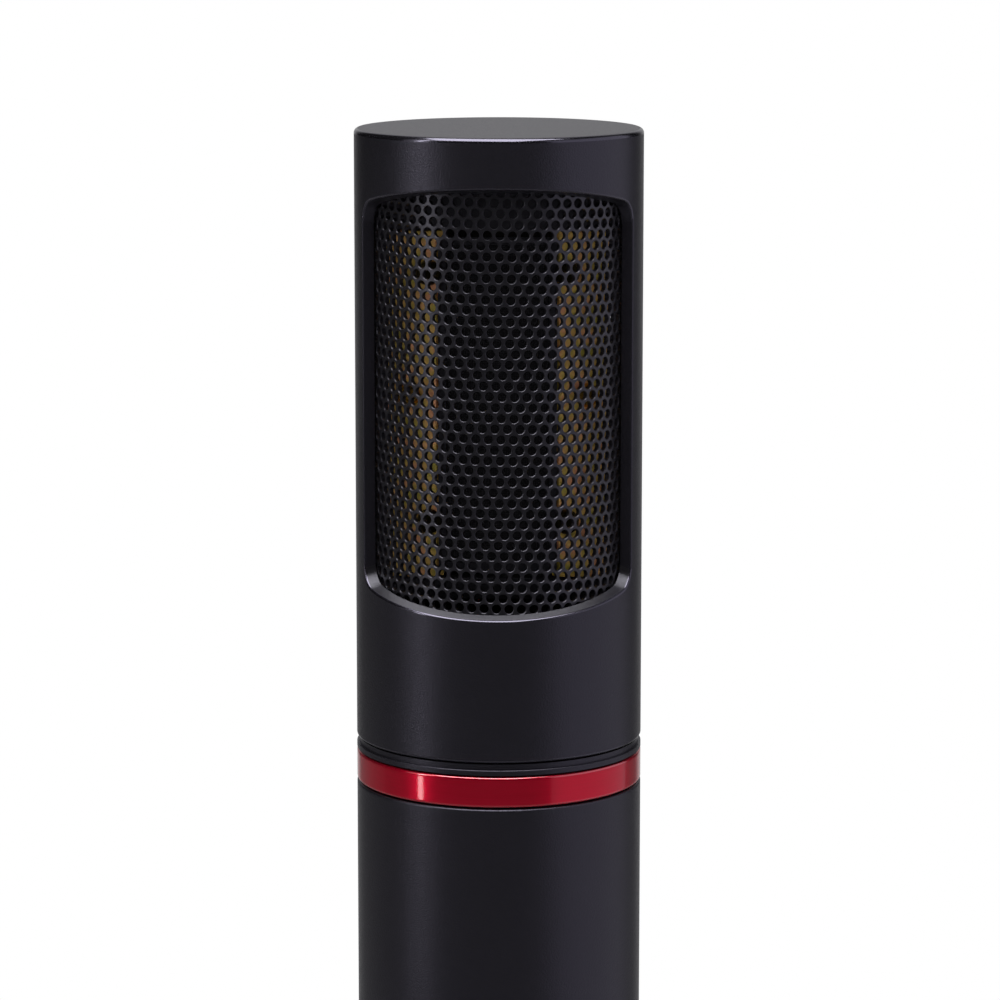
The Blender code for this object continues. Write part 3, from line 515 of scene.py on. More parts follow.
def moulded(tree, place, dark, light, roughness, grain):
    """Rubber, plastic, board or insulation: a dull body with a moulded or pressed grain."""
    skin = noise(tree, place, grain, 3.0)
    return {
        "Base Color": mixed(tree, skin, dark, light),
        "Roughness": ranged(tree, skin, roughness - 0.05, roughness + 0.05),
        "Normal": relief(tree, skin, 0.15, 0.03),
    }


def woven_silk(tree, place):
    """Black silk gauze: dull black threads over and under each other.

    The real threads are 0.1 mm apart. They are drawn 0.35 mm apart so that they show.
    """
    # A wave texture turns 20 radians in a unit
    spacing = per_mm(0.35) * math.tau / 20
    threads = {"Vector": place, "Scale": spacing, "Distortion": 0.4, "Detail": 1.0}
    across = add(tree, "TexWave", threads, bands_direction="X")
    along = add(tree, "TexWave", threads, bands_direction="Z")
    crossed = {0: across.outputs["Fac"], 1: along.outputs["Fac"]}
    weave = add(tree, "Math", crossed, operation="MULTIPLY").outputs["Value"]
    thread = mixed(tree, noise(tree, place, 3.0), "1e161b", "161823")
    tones = {0: weave, 6: linear("070708"), 7: thread}
    tone = add(tree, "Mix", tones, data_type="RGBA")
    return {
        "Base Color": tone.outputs[2],
        "Roughness": 0.85,
        "Specular IOR Level": 0.25,
        "Normal": relief(tree, weave, 0.5, 0.08),
    }


# Edges left bright by the lathe's tool, under the same dye: they draw thin, sharp highlights.
TURNED_EDGE = material("black_anodised_turned_edge", anodised_black, 0.14, 0.2, 0.02, 2.2)
RED_EDGE = material("red_anodised_turned_edge", anodised_red, 2.4)
MILLED = material("black_anodised_milled_cut", milled_black)
# Lacquered sheet: glossier than the casing, so the rim of each hole catches the light.
LACQUER = material("black_lacquered_sheet_steel", coated_steel, "050506", "0a090b", 0.3)
# Screen rivet heads painted a dark olive: painted shade, the shadow of the gold blocks' recesses put into
# their colour.
RIVET_PAINTED_SHADE = material("rivet_steel_painted_shade", plain_metal, "2c2817", "403a22", 0.4, 0.25)
FINISH = {
    # Fine-blasted before it is dyed: a satin black with a grit that sparkles in the highlights.
    "black_anodised_aluminium": material(
        "black_anodised_blasted_aluminium", anodised_black, 0.3, 0.38, 1.0
    ),
    "red_anodised_aluminium": material("red_anodised_turned_aluminium", anodised_red, 1.45),
    # Stoved coat on the motor's steel: a dull, slightly grey black.
    "black_steel": material("black_stoved_steel", coated_steel, "0e0e10", "151517", 0.45),
    "passivated_steel": material("yellow_passivated_zinc_on_steel", passivated_gold),
    # Bare turned brass: warm yellow, clouded where it has been handled.
    "brass": material("turned_brass", plain_metal, "b98d3c", "d1a850", 0.2, 0.25),
    # Nickel plate over a drawn can: a warm, soft mirror.
    "nickel": material("nickel_plate", plain_metal, "aaa69d", "c4c1b8", 0.24, 0.3),
    # Rolled foil: pale and bright, with rolling lines.
    "aluminium_foil": material("rolled_aluminium_foil", plain_metal, "cfd1d3", "e0e2e4", 0.22, 0.2),
    # Clear zinc plate: bluish grey and slightly cloudy.
    "zinc_plated_steel": material("clear_zinc_plate", plain_metal, "8d9196", "aaadb2", 0.34, 0.3),
    "black_silk": material("black_silk_gauze", woven_silk),
    # Pressed paper board bound with black resin: brown-black, mottled by its fibres.
    "phenolic_board": material("pressed_phenolic_board", moulded, "17120f", "221b16", 0.55, 0.6),
    # Moulded rubber: dull dark grey with a fine bloom.
    "rubber": material("moulded_rubber", moulded, "101010", "1c1c1c", 0.8, 0.4),
    # Glass-filled nylon: near black with a fine moulded grain.
    "connector_plastic": material("moulded_nylon", moulded, "101013", "1b1b1f", 0.45, 0.3),
    # Extruded wire insulation: smooth and slightly waxy.
    "red_insulation": material("red_wire_insulation", moulded, "921d1a", "ad2a25", 0.42, 1.2),
    "black_insulation": material("black_wire_insulation", moulded, "111112", "1d1d1e", 0.42, 1.2),
}


def window_edge(spread):
    """Points (arc, rise) round the window, whose edge is moved out by spread.

    A shallow crown above and below runs into corner arcs that also touch the straight sides.
    """
    crown_centre = WINDOW_HEIGHT / 2 - CROWN_RADIUS
    corner_arc = WINDOW_HALF_WIDTH - WINDOW_CORNER
    reach = CROWN_RADIUS - WINDOW_CORNER
    corner_rise = crown_centre + math.sqrt(reach**2 - corner_arc**2)
    crown_angle = math.asin(corner_arc / reach)
    half = []
    for step in range(CROWN_STEPS + 1):
        angle = crown_angle * step / CROWN_STEPS
        radius = CROWN_RADIUS + spread
        half.append((radius * math.sin(angle), crown_centre + radius * math.cos(angle)))
    for step in range(1, CORNER_STEPS + 1):
        angle = crown_angle + (math.pi / 2 - crown_angle) * step / CORNER_STEPS
        radius = WINDOW_CORNER + spread
        half.append((corner_arc + radius * math.sin(angle), corner_rise + radius * math.cos(angle)))
    upper = [(-arc, rise) for arc, rise in reversed(half[1:])] + half
    return upper + [(arc, -rise) for arc, rise in reversed(upper)]


def window_tool():
    """Two bodies through the head's wall, front and rear.

    Each leaves a window whose cut faces flare outwards and whose outer edge is rounded.
    """
    sections = [(BORE - TOOL_INSIDE, 0.0)]
    for step in range(ROUND_STEPS + 1):
        angle = math.radians(ROUND_STEP * step)
        rise, spread = math.sin(angle), 1 - math.cos(angle)
        sections.append((CASING - WINDOW_ROUND * (1 - rise), WINDOW_ROUND * spread))
    radius, spread = sections[-1]
    outside = CASING + TOOL_OUTSIDE
    sections.append((outside, spread + (outside - radius) * math.tan(angle)))
    points, faces = [], []
    for side in (1, -1):
        start = len(points)
        for radius, spread in sections:
            flare = WINDOW_FLARE * (CASING - radius) / WALL
            for arc, rise in window_edge(spread):
                level = WINDOW_CENTRE + rise - math.copysign(flare, rise)
                x, y, _ = on_cylinder(radius, arc / CASING, level)
                points.append((side * x, side * y, level))
        count = (len(points) - start) // len(sections)
        for near in range(start, len(points) - count, count):
            for i in range(count):
                j = (i + 1) % count
                faces.append((near + i, near + j, near + count + j, near + count + i))
        # The two ends are closed by strips from the upper edge to the lower one
        for first in (start, len(points) - count):
            for i in range(count // 2 - 1):
                faces.append((first + i, first + i + 1, first + count - 2 - i, first + count - 1 - i))
    made = from_points("windows", points, faces)
    close(made)
    return made


def head_shell():
    """The turned and bored head, closed at the top, with a window at the front and one behind."""
    profile = [
        (CASING - TOP_ROUND - SUPPORT, HEAD_TOP),
        *quarter(CASING - TOP_ROUND, HEAD_TOP - TOP_ROUND, TOP_ROUND, 90),
        (CASING, HEAD_TOP - TOP_ROUND - SUPPORT),
        (CASING, HEAD_BASE + EDGE_BREAK + SUPPORT),
        *quarter(CASING - EDGE_BREAK, HEAD_BASE + EDGE_BREAK, EDGE_BREAK, 0),
        (BORE, HEAD_BASE),
        (BORE, CEILING),
    ]
    shell = turned("windowed_head_shell", profile, solid=True)
    shell.data.transform(Matrix.Rotation(math.radians(FACET_TURN), 4, "Z"))
    cut(shell, window_tool())
    settle(shell, "head", "head_shell", edge=TURNED_EDGE, angle=17)
    shell.data.materials.append(MILLED)
    for face in shell.data.polygons:
        in_wall = BORE < face.center.xy.length / MM < CASING - WINDOW_ROUND
        if in_wall and abs(face.center.z / MM - WINDOW_CENTRE) < WINDOW_HEIGHT / 2 + WINDOW_CORNER:
            face.material_index = 2 if face.normal.z > SILL_LEAN else 0


def hole_centres(front, rear):
    """Centres (arc, level) of the holes in both zones, in staggered rows that run slightly downhill."""
    cosine, sine = math.cos(ROW_TILT), math.sin(ROW_TILT)
    for row in ROWS:
        for column in COLUMNS:
            across = (column + 0.5 * (row % 2)) * HOLE_PITCH
            up = row * ROW_PITCH
            arc = FIRST_ARC + cosine * across - sine * up
            level = FIRST_LEVEL + sine * across + cosine * up
            if abs(arc - rear) < abs(arc - front):
                arc += REAR_STEP
            near = min(abs(arc - front), abs(arc - rear))
            if near <= ZONE_HALF_WIDTH and ZONE_BASE <= level <= ZONE_TOP:
                yield arc, level


def grille():
    """The perforated sheet, laid out flat, rolled to a tube behind the windows and given its thickness.

    Each hole's outer edge is broken, as a punch leaves it.
    """
    half_turn = math.pi * GRILLE
    low, high = SEAM / 2 - half_turn / 2, 1.5 * half_turn - SEAM / 2
    stops = [low + (high - low) * i / SHEET_STEPS for i in range(SHEET_STEPS + 1)]
    border = [(arc, GRILLE_BASE) for arc in stops] + [(arc, GRILLE_TOP) for arc in reversed(stops)]
    flat = [Vector(point) for point in border]
    edges = [(i, (i + 1) % len(flat)) for i in range(len(flat))]
    for i, arc in enumerate(stops):
        if min(abs(arc), abs(arc - half_turn)) > ZONE_HALF_WIDTH + CREASE_GAP:
            edges.append((i, len(border) - 1 - i))
    rims = []
    for arc, level in hole_centres(0.0, half_turn):
        first = len(flat)
        for corner in range(HOLE_CORNERS):
            angle = 2 * math.pi * (corner + 0.5) / HOLE_CORNERS
            rim = (HOLE + RIM_WIDTH) * Vector((math.cos(angle), math.sin(angle)))
            flat.append(Vector((arc, level)) + rim)
            edges.append((first + corner, first + (corner + 1) % HOLE_CORNERS))
        rims.append((first, arc, level))
    inside_only, tolerance = 1, 1e-5
    _, _, triangles, sources, _, _ = delaunay_2d_cdt(flat, edges, [], inside_only, tolerance)
    place_of = [source[0] for source in sources]
    hole_of = {}
    for number, (first, _, _) in enumerate(rims):
        for corner in range(HOLE_CORNERS):
            hole_of[first + corner] = number

    # Points of the outer face, of the inner face, and of the holes' walls under their broken edges
    count = len(flat)
    outer = [on_cylinder(GRILLE, x / GRILLE, z) for x, z in flat]
    inner, middle = [], []
    for i, (x, z) in enumerate(flat):
        if i in hole_of:
            _, arc, level = rims[hole_of[i]]
            share = HOLE / (HOLE + RIM_WIDTH)
            x, z = arc + (x - arc) * share, level + (z - level) * share
        middle.append(on_cylinder(GRILLE - RIM_DEPTH, x / GRILLE, z))
        inner.append(on_cylinder(GRILLE - SHEET, x / GRILLE, z))
    faces = []
    for triangle in triangles:
        a, b, c = (place_of[i] for i in triangle)
        owners = {hole_of.get(i) for i in (a, b, c)}
        if len(owners) == 1 and None not in owners:
            continue
        faces.append((a, b, c))
        faces.append((count + c, count + b, count + a))
    for first, _, _ in rims:
        for corner in range(HOLE_CORNERS):
            i, j = first + corner, first + (corner + 1) % HOLE_CORNERS
            faces.append((i, j, 2 * count + j, 2 * count + i))
            faces.append((2 * count + i, 2 * count + j, count + j, count + i))
    for i in range(len(border)):
        j = (i + 1) % len(border)
        faces.append((j, i, count + i, count + j))
    sheet = from_points("rolled_perforated_grille", outer + inner + middle, faces)
    close(sheet)
    settle(sheet, "head", "grille", finish=LACQUER, angle=15)


def casing_ring(name, node, edge=None):
    """A plain tube of the casing's diameter, bored, with both outer edges rounded."""
    base, top = span(node, Z)
    inset = CASING - EDGE_BREAK
    profile = [
        (BORE, top),
        *quarter(inset, top - EDGE_BREAK, EDGE_BREAK, 90),
        (CASING, top - EDGE_BREAK - SUPPORT),
        (CASING, base + EDGE_BREAK + SUPPORT),
        *quarter(inset, base + EDGE_BREAK, EDGE_BREAK, 0),
        (BORE, base),
    ]
    settle(turned(name, profile), "body", node, edge=edge)


def thread_ridge(name, root, crest, pitch, base, turns, steps):
    """A tapered ridge wound about Z at a thread's pitch, with both ends closed."""
    middle = Vector(((root + crest) / 2, 0, base))
    made = upright_sheet(name, 1, 1, abs(crest - root), RIDGE_ROOT * pitch, middle)
    bpy.ops.mesh.select_all(action="DESELECT")
    bpy.ops.object.mode_set(mode="OBJECT")
    for vertex in made.data.vertices:
        vertex.select = (vertex.co.x / MM - middle.x) * (crest - root) > 0
    bpy.ops.object.mode_set(mode="EDIT")
    bpy.ops.transform.resize(value=(1, 1, RIDGE_CREST), center_override=middle * MM)
    bpy.ops.mesh.select_all(action="SELECT")
    bpy.ops.mesh.delete(type="ONLY_FACE")
    bpy.ops.object.mode_set(mode="OBJECT")
    wind = made.modifiers.new("wind", "SCREW")
    wind.screw_offset = pitch * MM
    wind.iterations = turns
    wind.steps = wind.render_steps = steps
    bpy.ops.object.modifier_apply(modifier=wind.name)
    close(made, 4)
    return made


def neck():
    """The turned neck: a threaded spigot for the head, a flange, and a spigot for ring and body.

    The flange shows as the groove under the head. The web across the neck is drilled for screws, bolts
    and leads.
    """
    base, top = span("neck", Z)
    root, crest, bore = 19.1, 19.9, 18.7
    web = HEAD_BASE + 0.2
    flange_base, flange_top = span("red_ring", Z)[1] + FIT, HEAD_BASE - FIT
    groove, lip_top, lip_break = CASING - 0.45, flange_base + 0.85, 0.05
    profile = [
        (root - EDGE_BREAK, top),
        (root, top - EDGE_BREAK),
        (root, flange_top),
        (groove, flange_top),
        (groove, lip_top),
        (CASING - lip_break, lip_top),
        (CASING, lip_top - lip_break),
        (CASING, flange_base),
        (SPIGOT, flange_base),
        (SPIGOT, base + EDGE_BREAK),
        (SPIGOT - EDGE_BREAK, base),
        (bore, base),
        (bore, web),
    ]
    made = turned("threaded_neck", profile, solid=True)
    lead_hole, lead_x, lead_y = 0.8, 4.0, 6.8
    past = 1.0
    places = []
    for side, sign in zip(SIDES, (-1, 1)):
        places.append((SCREW_HOLE, middle_of(f"rail_screw_{side}", X), 0, web - past, top + past))
        places.append((BOLT_HOLE, middle_of(f"isolator_{side}", X), 0, web - past, top + past))
        places.append((lead_hole, sign * lead_x, lead_y, web - past, top + past))
    cut(made, drills(places))
    thread_base = HEAD_BASE + 0.6
    join(made, thread_ridge("neck_thread", root - BITE, crest, PITCH, thread_base, 3, MIDDLING))
    settle(made, "body", "neck")


def head_collar():
    """The brass collar inside the head, with its inner thread."""
    base, top = span("head_collar", Z)
    bore, crest = 20.9, 20.22
    profile = [
        (bore, top),
        (SPIGOT - CHAMFER, top),
        (SPIGOT, top - CHAMFER),
        (SPIGOT, base + CHAMFER),
        (SPIGOT - CHAMFER, base),
        (bore, base),
    ]
    made = turned("threaded_head_collar", profile)
    thread_base = base + 1.0
    join(made, thread_ridge("collar_thread", bore + BITE, crest, PITCH, thread_base, 4, MIDDLING))
    settle(made, "head_collar", "head_collar")


def eased(node, width):
    """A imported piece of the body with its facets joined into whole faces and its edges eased."""
    made = bpy.data.objects.new("eased_" + node, NODES[node].data.copy())
    made.data.name = made.name
    scene.collection.objects.link(made)
    pick(made)
    bpy.ops.object.mode_set(mode="EDIT")
    bpy.ops.mesh.select_all(action="SELECT")
    bpy.ops.mesh.remove_doubles(threshold=1e-6)
    bpy.ops.mesh.dissolve_limited(angle_limit=math.radians(1))
    bpy.ops.mesh.normals_make_consistent(inside=False)
    bpy.ops.object.mode_set(mode="OBJECT")
    ease = made.modifiers.new("ease", "BEVEL")
    ease.width = width * MM
    ease.segments = 2
    ease.limit_method = "ANGLE"
    ease.angle_limit = math.radians(50)
    bpy.ops.object.modifier_apply(modifier=ease.name)
    settle(made, "body", node, angle=40)


def rivets():
    """Rivets along Y through the motor's side blocks, with a low dome, flat at its tip, at each end."""
    # The dome's points: the share of the head's radius, and the rise above its seat
    dome = ((0.14, 1.5), (0.46, 1.41), (0.71, 1.16), (0.89, 0.77), (0.98, 0.34), (1.0, 0.0))
    height, shank = dome[0][1], 1.0
    lay = Matrix.Rotation(math.pi / 2, 4, "X")
    for finish, names in (
        # The screen rivets' dark olive is painted shade, not their metal's own colour
        (RIVET_PAINTED_SHADE, ("screen_rivet_upper", "screen_rivet_lower")),
        (FINISH["brass"], ("tie_rivet",)),
    ):
        head = half_of(names[0] + "_left", X)
        seat = half_of(names[0] + "_left", Y) - height
        half = [(head * share, seat + rise) for share, rise in dome] + [(shank, seat)]
        profile = half + [(across, -along) for across, along in reversed(half)]
        model = turned("rivet", profile, SMALL, solid=True)
        model.data.transform(lay)
        nodes = [f"{name}_{side}" for name in names for side in SIDES]
        place_copies(model, "formed_", nodes, finish)


def socket_screw(radius, length, head, pitch):
    """A socket-head screw about Z: its head rises from its seat at 0, and its thread runs down."""
    profile = [
        (head - CHAMFER, SCREW_HEAD),
        (head, SCREW_HEAD - CHAMFER),
        (head, 0.0),
        (CORE * radius, 0.0),
        (CORE * radius, POINT_LENGTH - length),
        (POINT * radius, -length),
    ]
    made = turned("screw", profile, SMALL, solid=True)
    socket = SOCKET * head
    hexagon = [(socket, SCREW_HEAD + CHAMFER), (socket, SCREW_HEAD - SOCKET_DEPTH)]
    cut(made, turned("hexagon", hexagon, 6, solid=True))
    turns = int((min(length, LONGEST_THREAD) - RUN_OUT) / pitch)
    base = -length + pitch / 2 + CHAMFER
    join(made, thread_ridge("screw_thread", ROOT * radius, radius, pitch, base, turns, SMALL // 2))
    return made


def screws():
    """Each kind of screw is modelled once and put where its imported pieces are, head up, down or back."""
    up, down = Matrix(), Matrix.Rotation(math.pi, 4, "X")
    back = Matrix.Rotation(-math.pi / 2, 4, "X")
    for thread, turn, *names in (
        (SMALL_THREAD, up, "top_plate_screw"),
        (SMALL_THREAD, down, "base_plate_screw"),
        (SMALL_THREAD, up, "rail_screw"),
        (SMALL_THREAD, down, "end_screw"),
        (BOLT_THREAD, down, "isolator_bolt"),
        (FINE_THREAD, back, "clamp_screw_upper", "clamp_screw_lower"),
    ):
        radius, pitch = thread
        out = turn @ Vector((0, 0, 1))
        low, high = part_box(names[0] + "_left")
        reach = abs((high - low).dot(out))
        head = half_of(names[0] + "_left", X)
        model = socket_screw(radius, round(reach / MM, 3) - SCREW_HEAD, head, pitch)
        model.data.transform(turn @ Matrix.Translation((0, 0, reach / 2 - SCREW_HEAD * MM)))
        nodes = [f"{name}_{side}" for name in names for side in SIDES]
        place_copies(model, "socket_", nodes)


def screens():
    """A black frame in the side blocks' rebates, front and rear, with silk gauze stretched across it."""
    bar, gap, set_in, draw, cloth = 1.3, 0.05, 0.05, 0.25, 0.12
    for name, sign in (("front_screen", -1), ("rear_screen", 1)):
        y, level = middle_of(name, Y), middle_of(name, Z)
        wide, deep, high = (2 * half_of(name, axis) for axis in (X, Y, Z))
        made = upright_sheet(name + "_frame", 1, 1, wide, high, (0, y, level))
        bpy.ops.mesh.inset(thickness=bar * MM)
        bpy.ops.mesh.delete(type="FACE")
        bpy.ops.object.mode_set(mode="OBJECT")
        thicken(made, deep)
        settle(made, "body", slot="black_steel")

        width, height = wide - 2 * (bar + gap), high - 2 * (bar + gap)
        silk = upright_sheet(name + "_silk", 16, 48, width, height, (0, y - sign * set_in, level))
        bpy.ops.object.mode_set(mode="OBJECT")
        # The gauze draws in a little between its frame's bars
        for vertex in silk.data.vertices:
            across = 1 - (vertex.co.x / (width / 2 * MM)) ** 2
            along = 1 - ((vertex.co.z - level * MM) / (height / 2 * MM)) ** 2
            vertex.co.y -= sign * draw * MM * max(0.0, across * along)
        thicken(silk, cloth)
        settle(silk, "body", name, slot="black_silk")


def ribbon():
    """The foil ribbon: flat where it is clamped, finely corrugated between the pole pieces."""
    fold, swing, foil = 1.3, 0.3, 0.04
    width, height = 2 * half_of("ribbon", X), 2 * half_of("ribbon", Z)
    made = upright_sheet("corrugated_ribbon", 4, 480, width, height, (0, 0, middle_of("ribbon", Z)))
    bpy.ops.object.mode_set(mode="OBJECT")
    base, top = span("pole_piece_left", Z)
    for vertex in made.data.vertices:
        level = vertex.co.z / MM
        if base < level < top:
            ends = min(1.0, (level - base) / fold, (top - level) / fold)
            vertex.co.y = swing * MM * ends * math.sin(2 * math.pi * (level - base) / fold)
    thicken(made, foil)
    settle(made, "ribbon", "ribbon", angle=60)


def isolators():
    """Rubber sleeves, drawn in at the waist, which carry the motor on the neck."""
    half, swell, waist = half_of("isolator_right", Z), half_of("isolator_right", X), 3.3
    # Shares of the half length: where the waist ends, and where the end's chamfer starts
    waist_end, shoulder = 0.7, 0.96
    steps = 14
    outside = []
    for step in range(steps + 1):
        along = 1 - 2 * step / steps
        radius = waist + (swell - waist) * min(1.0, abs(along) / waist_end) ** 2
        outside.append((radius, half * along * shoulder))
    end = swell - CHAMFER
    profile = [(BOLT_HOLE, half), (end, half), *outside, (end, -half), (BOLT_HOLE, -half)]
    model = turned("sleeve", profile, SMALL)
    place_copies(model, "moulded_", [f"isolator_{side}" for side in SIDES])


def transformer_can():
    """The drawn can with its rounded top, the groove rolled in above its base, and its stud."""
    stud_base, top = span("transformer_can", Z)
    radius = round(span("transformer_can", X)[1], 1)
    base = span("transformer_shelf", Z)[1] + FIT
    # The rounded top's points: in from the wall, and down from the top
    shoulder = ((1.2, 0.0), (0.8, 0.04), (0.45, 0.18), (0.2, 0.4), (0.05, 0.7), (0.0, 1.1))
    edge, stud = 0.1, 2.0
    groove, slope, floor = 0.15, 0.2, 0.4
    lip = base + edge
    profile = [
        *[(radius - inwards, top - down) for inwards, down in shoulder],
        (radius, lip + 2 * slope + floor),
        (radius - groove, lip + slope + floor),
        (radius - groove, lip + slope),
        (radius, lip),
        (radius - edge, base),
        (stud, base),
        (stud, stud_base + CHAMFER),
        (stud - CHAMFER, stud_base),
    ]
    made = turned("drawn_transformer_can", profile, MIDDLING, solid=True)
    settle(made, "body", "transformer_can")


def connector():
    """The end plate with the connector's cup, and the insert and round-nosed pins in it."""
    base, top = span("end_plate", Z)
    _, plate_radius = span("end_plate", X)
    insert_base, insert_top = span("connector_insert", Z)
    _, insert_radius = span("connector_insert", X)
    cup, cup_outside, cup_edge, flange = 8.1, 11.5, 0.2, 4.0
    # The rounded mouth's points: out from the cup's wall, and up from the plate's face
    mouth = ((0.9, 0.0), (0.5, 0.12), (0.15, 0.45), (0.0, 0.9))
    seat = insert_radius + FIT
    profile = [
        (seat, top),
        (cup_outside - cup_edge, top),
        (cup_outside, top - cup_edge),
        (cup_outside, base + flange),
        (plate_radius - CHAMFER, base + flange),
        (plate_radius, base + flange - CHAMFER),
        (plate_radius, base + CHAMFER),
        (plate_radius - CHAMFER, base),
        *[(cup + outwards, base + up) for outwards, up in mouth],
        (cup, insert_base - FIT),
        (seat, insert_base - FIT),
    ]
    plate = turned("turned_end_plate", profile)
    past, counterbore, counterbore_depth = 0.5, 2.5, 2.1
    for radius, depth in ((SCREW_HOLE, flange + past), (counterbore, counterbore_depth)):
        places = []
        for side in SIDES:
            places.append((radius, middle_of(f"end_screw_{side}", X), 0, base - past, base + depth))
        cut(plate, drills(places))
    settle(plate, "body", "end_plate")

    recess, recess_radius, recess_border, pin_hole = 0.2, 7.4, 0.4, 1.5
    rim = [
        (insert_radius - CHAMFER, insert_top),
        (insert_radius, insert_top - CHAMFER),
        (insert_radius, insert_base + CHAMFER),
        (insert_radius - CHAMFER, insert_base),
        (recess_radius + recess, insert_base),
        (recess_radius, insert_base + recess),
        (recess_radius - recess_border, insert_base + recess),
    ]
    insert = turned("moulded_connector_insert", rim, MIDDLING, solid=True)
    pins = [f"connector_pin_{number}" for number in (1, 2, 3)]
    holes = []
    for node in pins:
        x, y = middle_of(node, X), middle_of(node, Y)
        holes.append((pin_hole, x, y, insert_base - past, insert_top + past))
    cut(insert, drills(holes))
    half, pin = half_of(pins[0], Z), half_of(pins[0], X)
    pin_edge = 0.2
    # The round nose's points: in from the pin's side, and up from its tip
    nose = ((0.0, 1.1), (0.07, 0.62), (0.28, 0.27), (0.6, 0.06), (1.0, 0.0))
    profile = [
        (pin - pin_edge, half),
        (pin, half - pin_edge),
        *[(pin - inwards, up - half) for inwards, up in nose],
    ]
    place_copies(turned("pin", profile, SMALL, solid=True), "turned_", pins)
    settle(insert, "body", "connector_insert")


casing_ring("turned_red_ring", "red_ring", RED_EDGE)
casing_ring("turned_body_tube", "body_tube")
head_shell()
grille()
neck()
head_collar()
rivets()
screws()
screens()
ribbon()
isolators()
transformer_can()
connector()
for side in SIDES:
    eased(f"side_block_{side}", 0.3)
    eased(f"magnet_{side}", 0.2)
    eased(f"pole_piece_{side}", 0.15)
    eased(f"chassis_rail_{side}", 0.25)
for level in ("upper", "lower"):
    eased(f"clamp_block_{level}", 0.25)
    eased(f"clamp_bar_{level}", 0.2)
for node in ("motor_top_plate", "motor_base_plate", "transformer_shelf", "transformer_nut"):
    eased(node, 0.25)
eased("connector_retaining_ring", 0.2)

for made in NODES.values():
    slot = made.data.materials[0].name
    if slot in FINISH:
        made.data.materials[0] = FINISH[slot]

scene.view_settings.view_transform = "Standard"

# Camera: the photograph's place, measured from the object's own edges. Its shift is a share of the
# picture's width.
CAMERA_DISTANCE = 670.6
CAMERA_LEVEL = 250.2
CAMERA_TURN = math.radians(1.3)
CAMERA_PITCH = math.radians(9.5383)
LENS = 145.81
SENSOR = 36.0
SIDE_SHIFT = 0.001126
NEAREST = 10.0
camera = bpy.data.objects.new("camera", bpy.data.cameras.new("camera"))
scene.collection.objects.link(camera)
camera.location = Vector(on_cylinder(CAMERA_DISTANCE, CAMERA_TURN, CAMERA_LEVEL)) * MM
camera.rotation_euler = (math.pi / 2 - CAMERA_PITCH, 0, CAMERA_TURN)
camera.data.sensor_width = SENSOR
camera.data.lens = LENS
camera.data.shift_x = SIDE_SHIFT
camera.data.clip_start = NEAREST * MM
scene.camera = camera

# Lamps: the point that they face, and their two colours
LAMP_AIM = Vector((0, 0, 130 * MM))
WHITE = "ffffff"
COOL_WHITE = "f4f2ff"


def softbox(name, azimuth, elevation, distance, width, height, level, colour):
    """A lamp that faces the head, with its distance and size in metres.

    Its azimuth is counted from the front to the right. Level 1 looks white.
    """
    lamp = bpy.data.lights.new(name, "AREA")
    lamp.shape = "RECTANGLE"
    lamp.size, lamp.size_y = width, height
    lamp.energy = level * math.pi * width * height
    lamp.color = linear(colour)[:3]
    made = bpy.data.objects.new(name, lamp)
    scene.collection.objects.link(made)
    turn, rise = math.radians(azimuth), math.radians(elevation)
    out = Vector((math.sin(turn) * math.cos(rise), -math.cos(turn) * math.cos(rise), math.sin(rise)))
    made.location = LAMP_AIM + out * distance
    made.rotation_euler = out.to_track_quat("Z", "Y").to_euler()
    made.visible_camera = False


# The top face and the sill shine under the first, and the casing's right side mirrors the next two.
# The strip and its glow draw the line down the left, and the card draws it on the ring. The last is a
# faint fill from behind.
softbox("top_softbox", -20, 74, 0.9, 1.0, 0.95, 5.0, WHITE)
softbox("right_softbox", 84, 2, 0.6, 1.04, 1.0, 0.28, COOL_WHITE)
softbox("right_softbox_upper", 86, 24, 0.62, 1.04, 0.7, 0.18, COOL_WHITE)
softbox("left_strip", -63, 19, 0.9, 0.08, 0.71, 4.6, WHITE)
softbox("left_strip_glow", -65, 17, 0.92, 0.42, 0.75, 0.3, WHITE)
softbox("left_card", -64, -15.6, 0.88, 0.07, 0.06, 8.5, WHITE)
softbox("left_softbox", -125, -18, 0.6, 0.45, 0.35, 0.03, WHITE)

# World: white wherever the camera looks. Reflections see a white backdrop straight behind the object, and
# a dim room in front that is a little lighter towards the floor.
BACKDROP = 0.47
ROOM = 0.008
ROOM_FLOOR = 0.13
SURROUND = 0.75
# Where the backdrop and the lighter floor start and are full: rearward and upward parts of a direction
BACKDROP_START, BACKDROP_FULL = 0.84, 0.99
FLOOR_START, FLOOR_FULL = -0.13, -0.28
world = bpy.data.worlds.new("studio")
scene.world = world
tree = empty_tree(world)
path = add(tree, "LightPath").outputs
direction = add(tree, "TexCoord").outputs["Generated"]
flat = add(tree, "VectorMath", {0: direction, 1: (1, 1, 0)}, operation="MULTIPLY")
heading = add(tree, "VectorMath", {0: flat.outputs["Vector"]}, operation="NORMALIZE")
back = add(tree, "SeparateXYZ", {"Vector": heading.outputs["Vector"]}).outputs["Y"]
rise = add(tree, "SeparateXYZ", {"Vector": direction}).outputs["Z"]
lower = {"Value": rise, "From Min": FLOOR_START, "From Max": FLOOR_FULL}
room = add(tree, "MapRange", lower | {"To Min": ROOM, "To Max": ROOM_FLOOR})
rearward = {"Value": back, "From Min": BACKDROP_START, "From Max": BACKDROP_FULL}
lights = {"To Min": room.outputs[0], "To Max": BACKDROP}
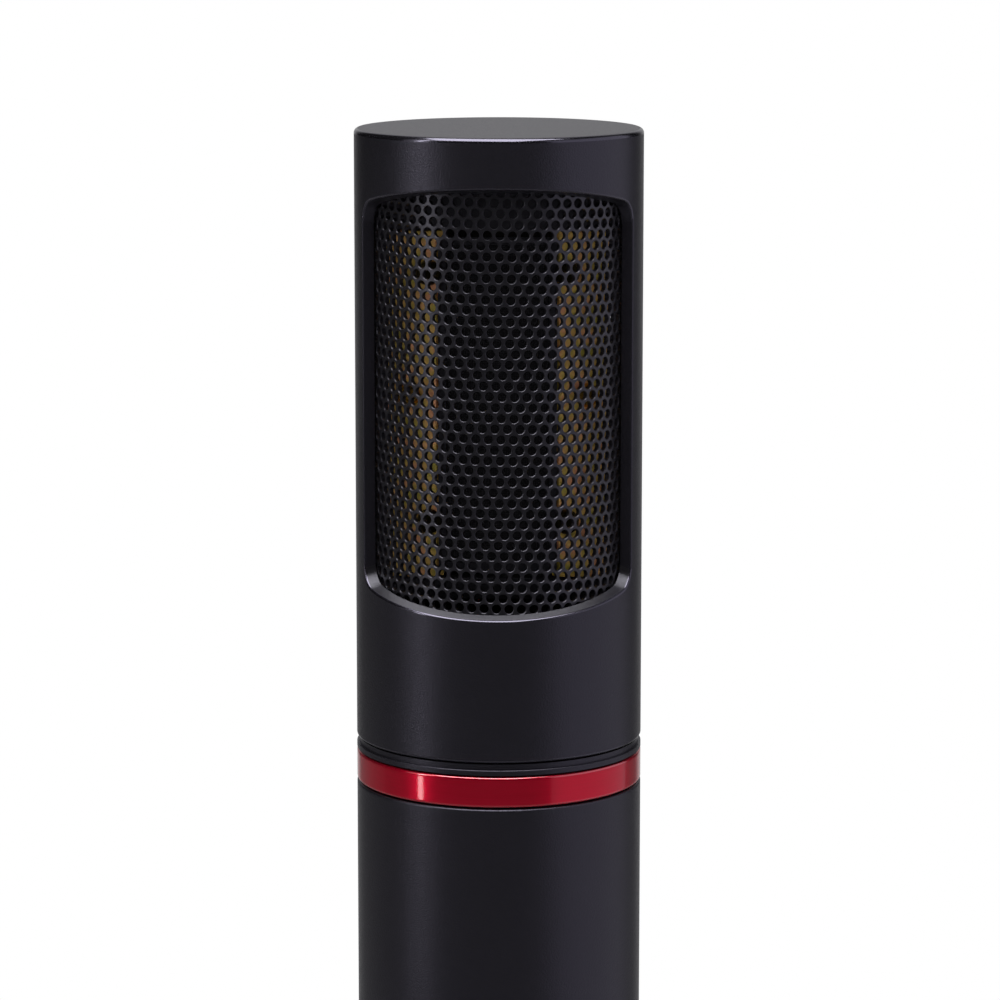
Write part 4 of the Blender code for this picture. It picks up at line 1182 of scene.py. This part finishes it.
behind = add(tree, "MapRange", rearward | lights, interpolation_type="SMOOTHSTEP")
mirrored = {0: path["Is Glossy Ray"], 1: path["Is Transmission Ray"]}
mirror = add(tree, "Math", mirrored, operation="MAXIMUM")
seen = add(tree, "Mix", {0: mirror.outputs["Value"], 2: SURROUND, 3: behind.outputs["Result"]})
level = add(tree, "Mix", {0: path["Is Camera Ray"], 2: seen.outputs[0], 3: 1.0})
sky = add(tree, "Background", {"Color": linear(WHITE), "Strength": level.outputs[0]})
add(tree, "OutputWorld", {"Surface": sky.outputs["Background"]})

# Floor: pale and matt near the object, where it keeps the shadow, and white further out
FLOOR_SIZE = 16000.0
FLOOR_LEVEL = -0.3
SHADOW_REACH, WHITE_REACH = 50.0, 165.0
bpy.ops.object.select_all(action="DESELECT")
bpy.ops.mesh.primitive_plane_add(size=FLOOR_SIZE * MM, location=(0, 0, FLOOR_LEVEL * MM))
floor = bpy.context.object
floor.name = "floor"
matt = bpy.data.materials.new("pale_matt_floor")
tree = empty_tree(matt)
path = add(tree, "LightPath").outputs
place = add(tree, "NewGeometry").outputs
distance = add(tree, "VectorMath", {0: place["Position"]}, operation="LENGTH")
reach = {"Value": distance.outputs["Value"], "From Min": SHADOW_REACH * MM, "From Max": WHITE_REACH * MM}
far = add(tree, "MapRange", reach, interpolation_type="SMOOTHSTEP")
seen = add(tree, "Math", {0: far.outputs["Result"], 1: path["Is Camera Ray"]}, operation="MULTIPLY")
paint = add(tree, "BsdfDiffuse", {"Color": linear("f4f4f4")})
white = add(tree, "Emission", {"Color": linear(WHITE), "Strength": 1.0})
blend = add(tree, "MixShader", {0: seen.outputs["Value"], 1: paint.outputs[0], 2: white.outputs[0]})
# Nothing of it is seen from below
clear = add(tree, "BsdfTransparent")
sides = add(tree, "MixShader", {0: place["Backfacing"], 1: blend.outputs[0], 2: clear.outputs[0]})
add(tree, "OutputMaterial", {"Surface": sides.outputs[0]})
floor.data.materials.append(matt)
floor.visible_glossy = False
floor.visible_shadow = False
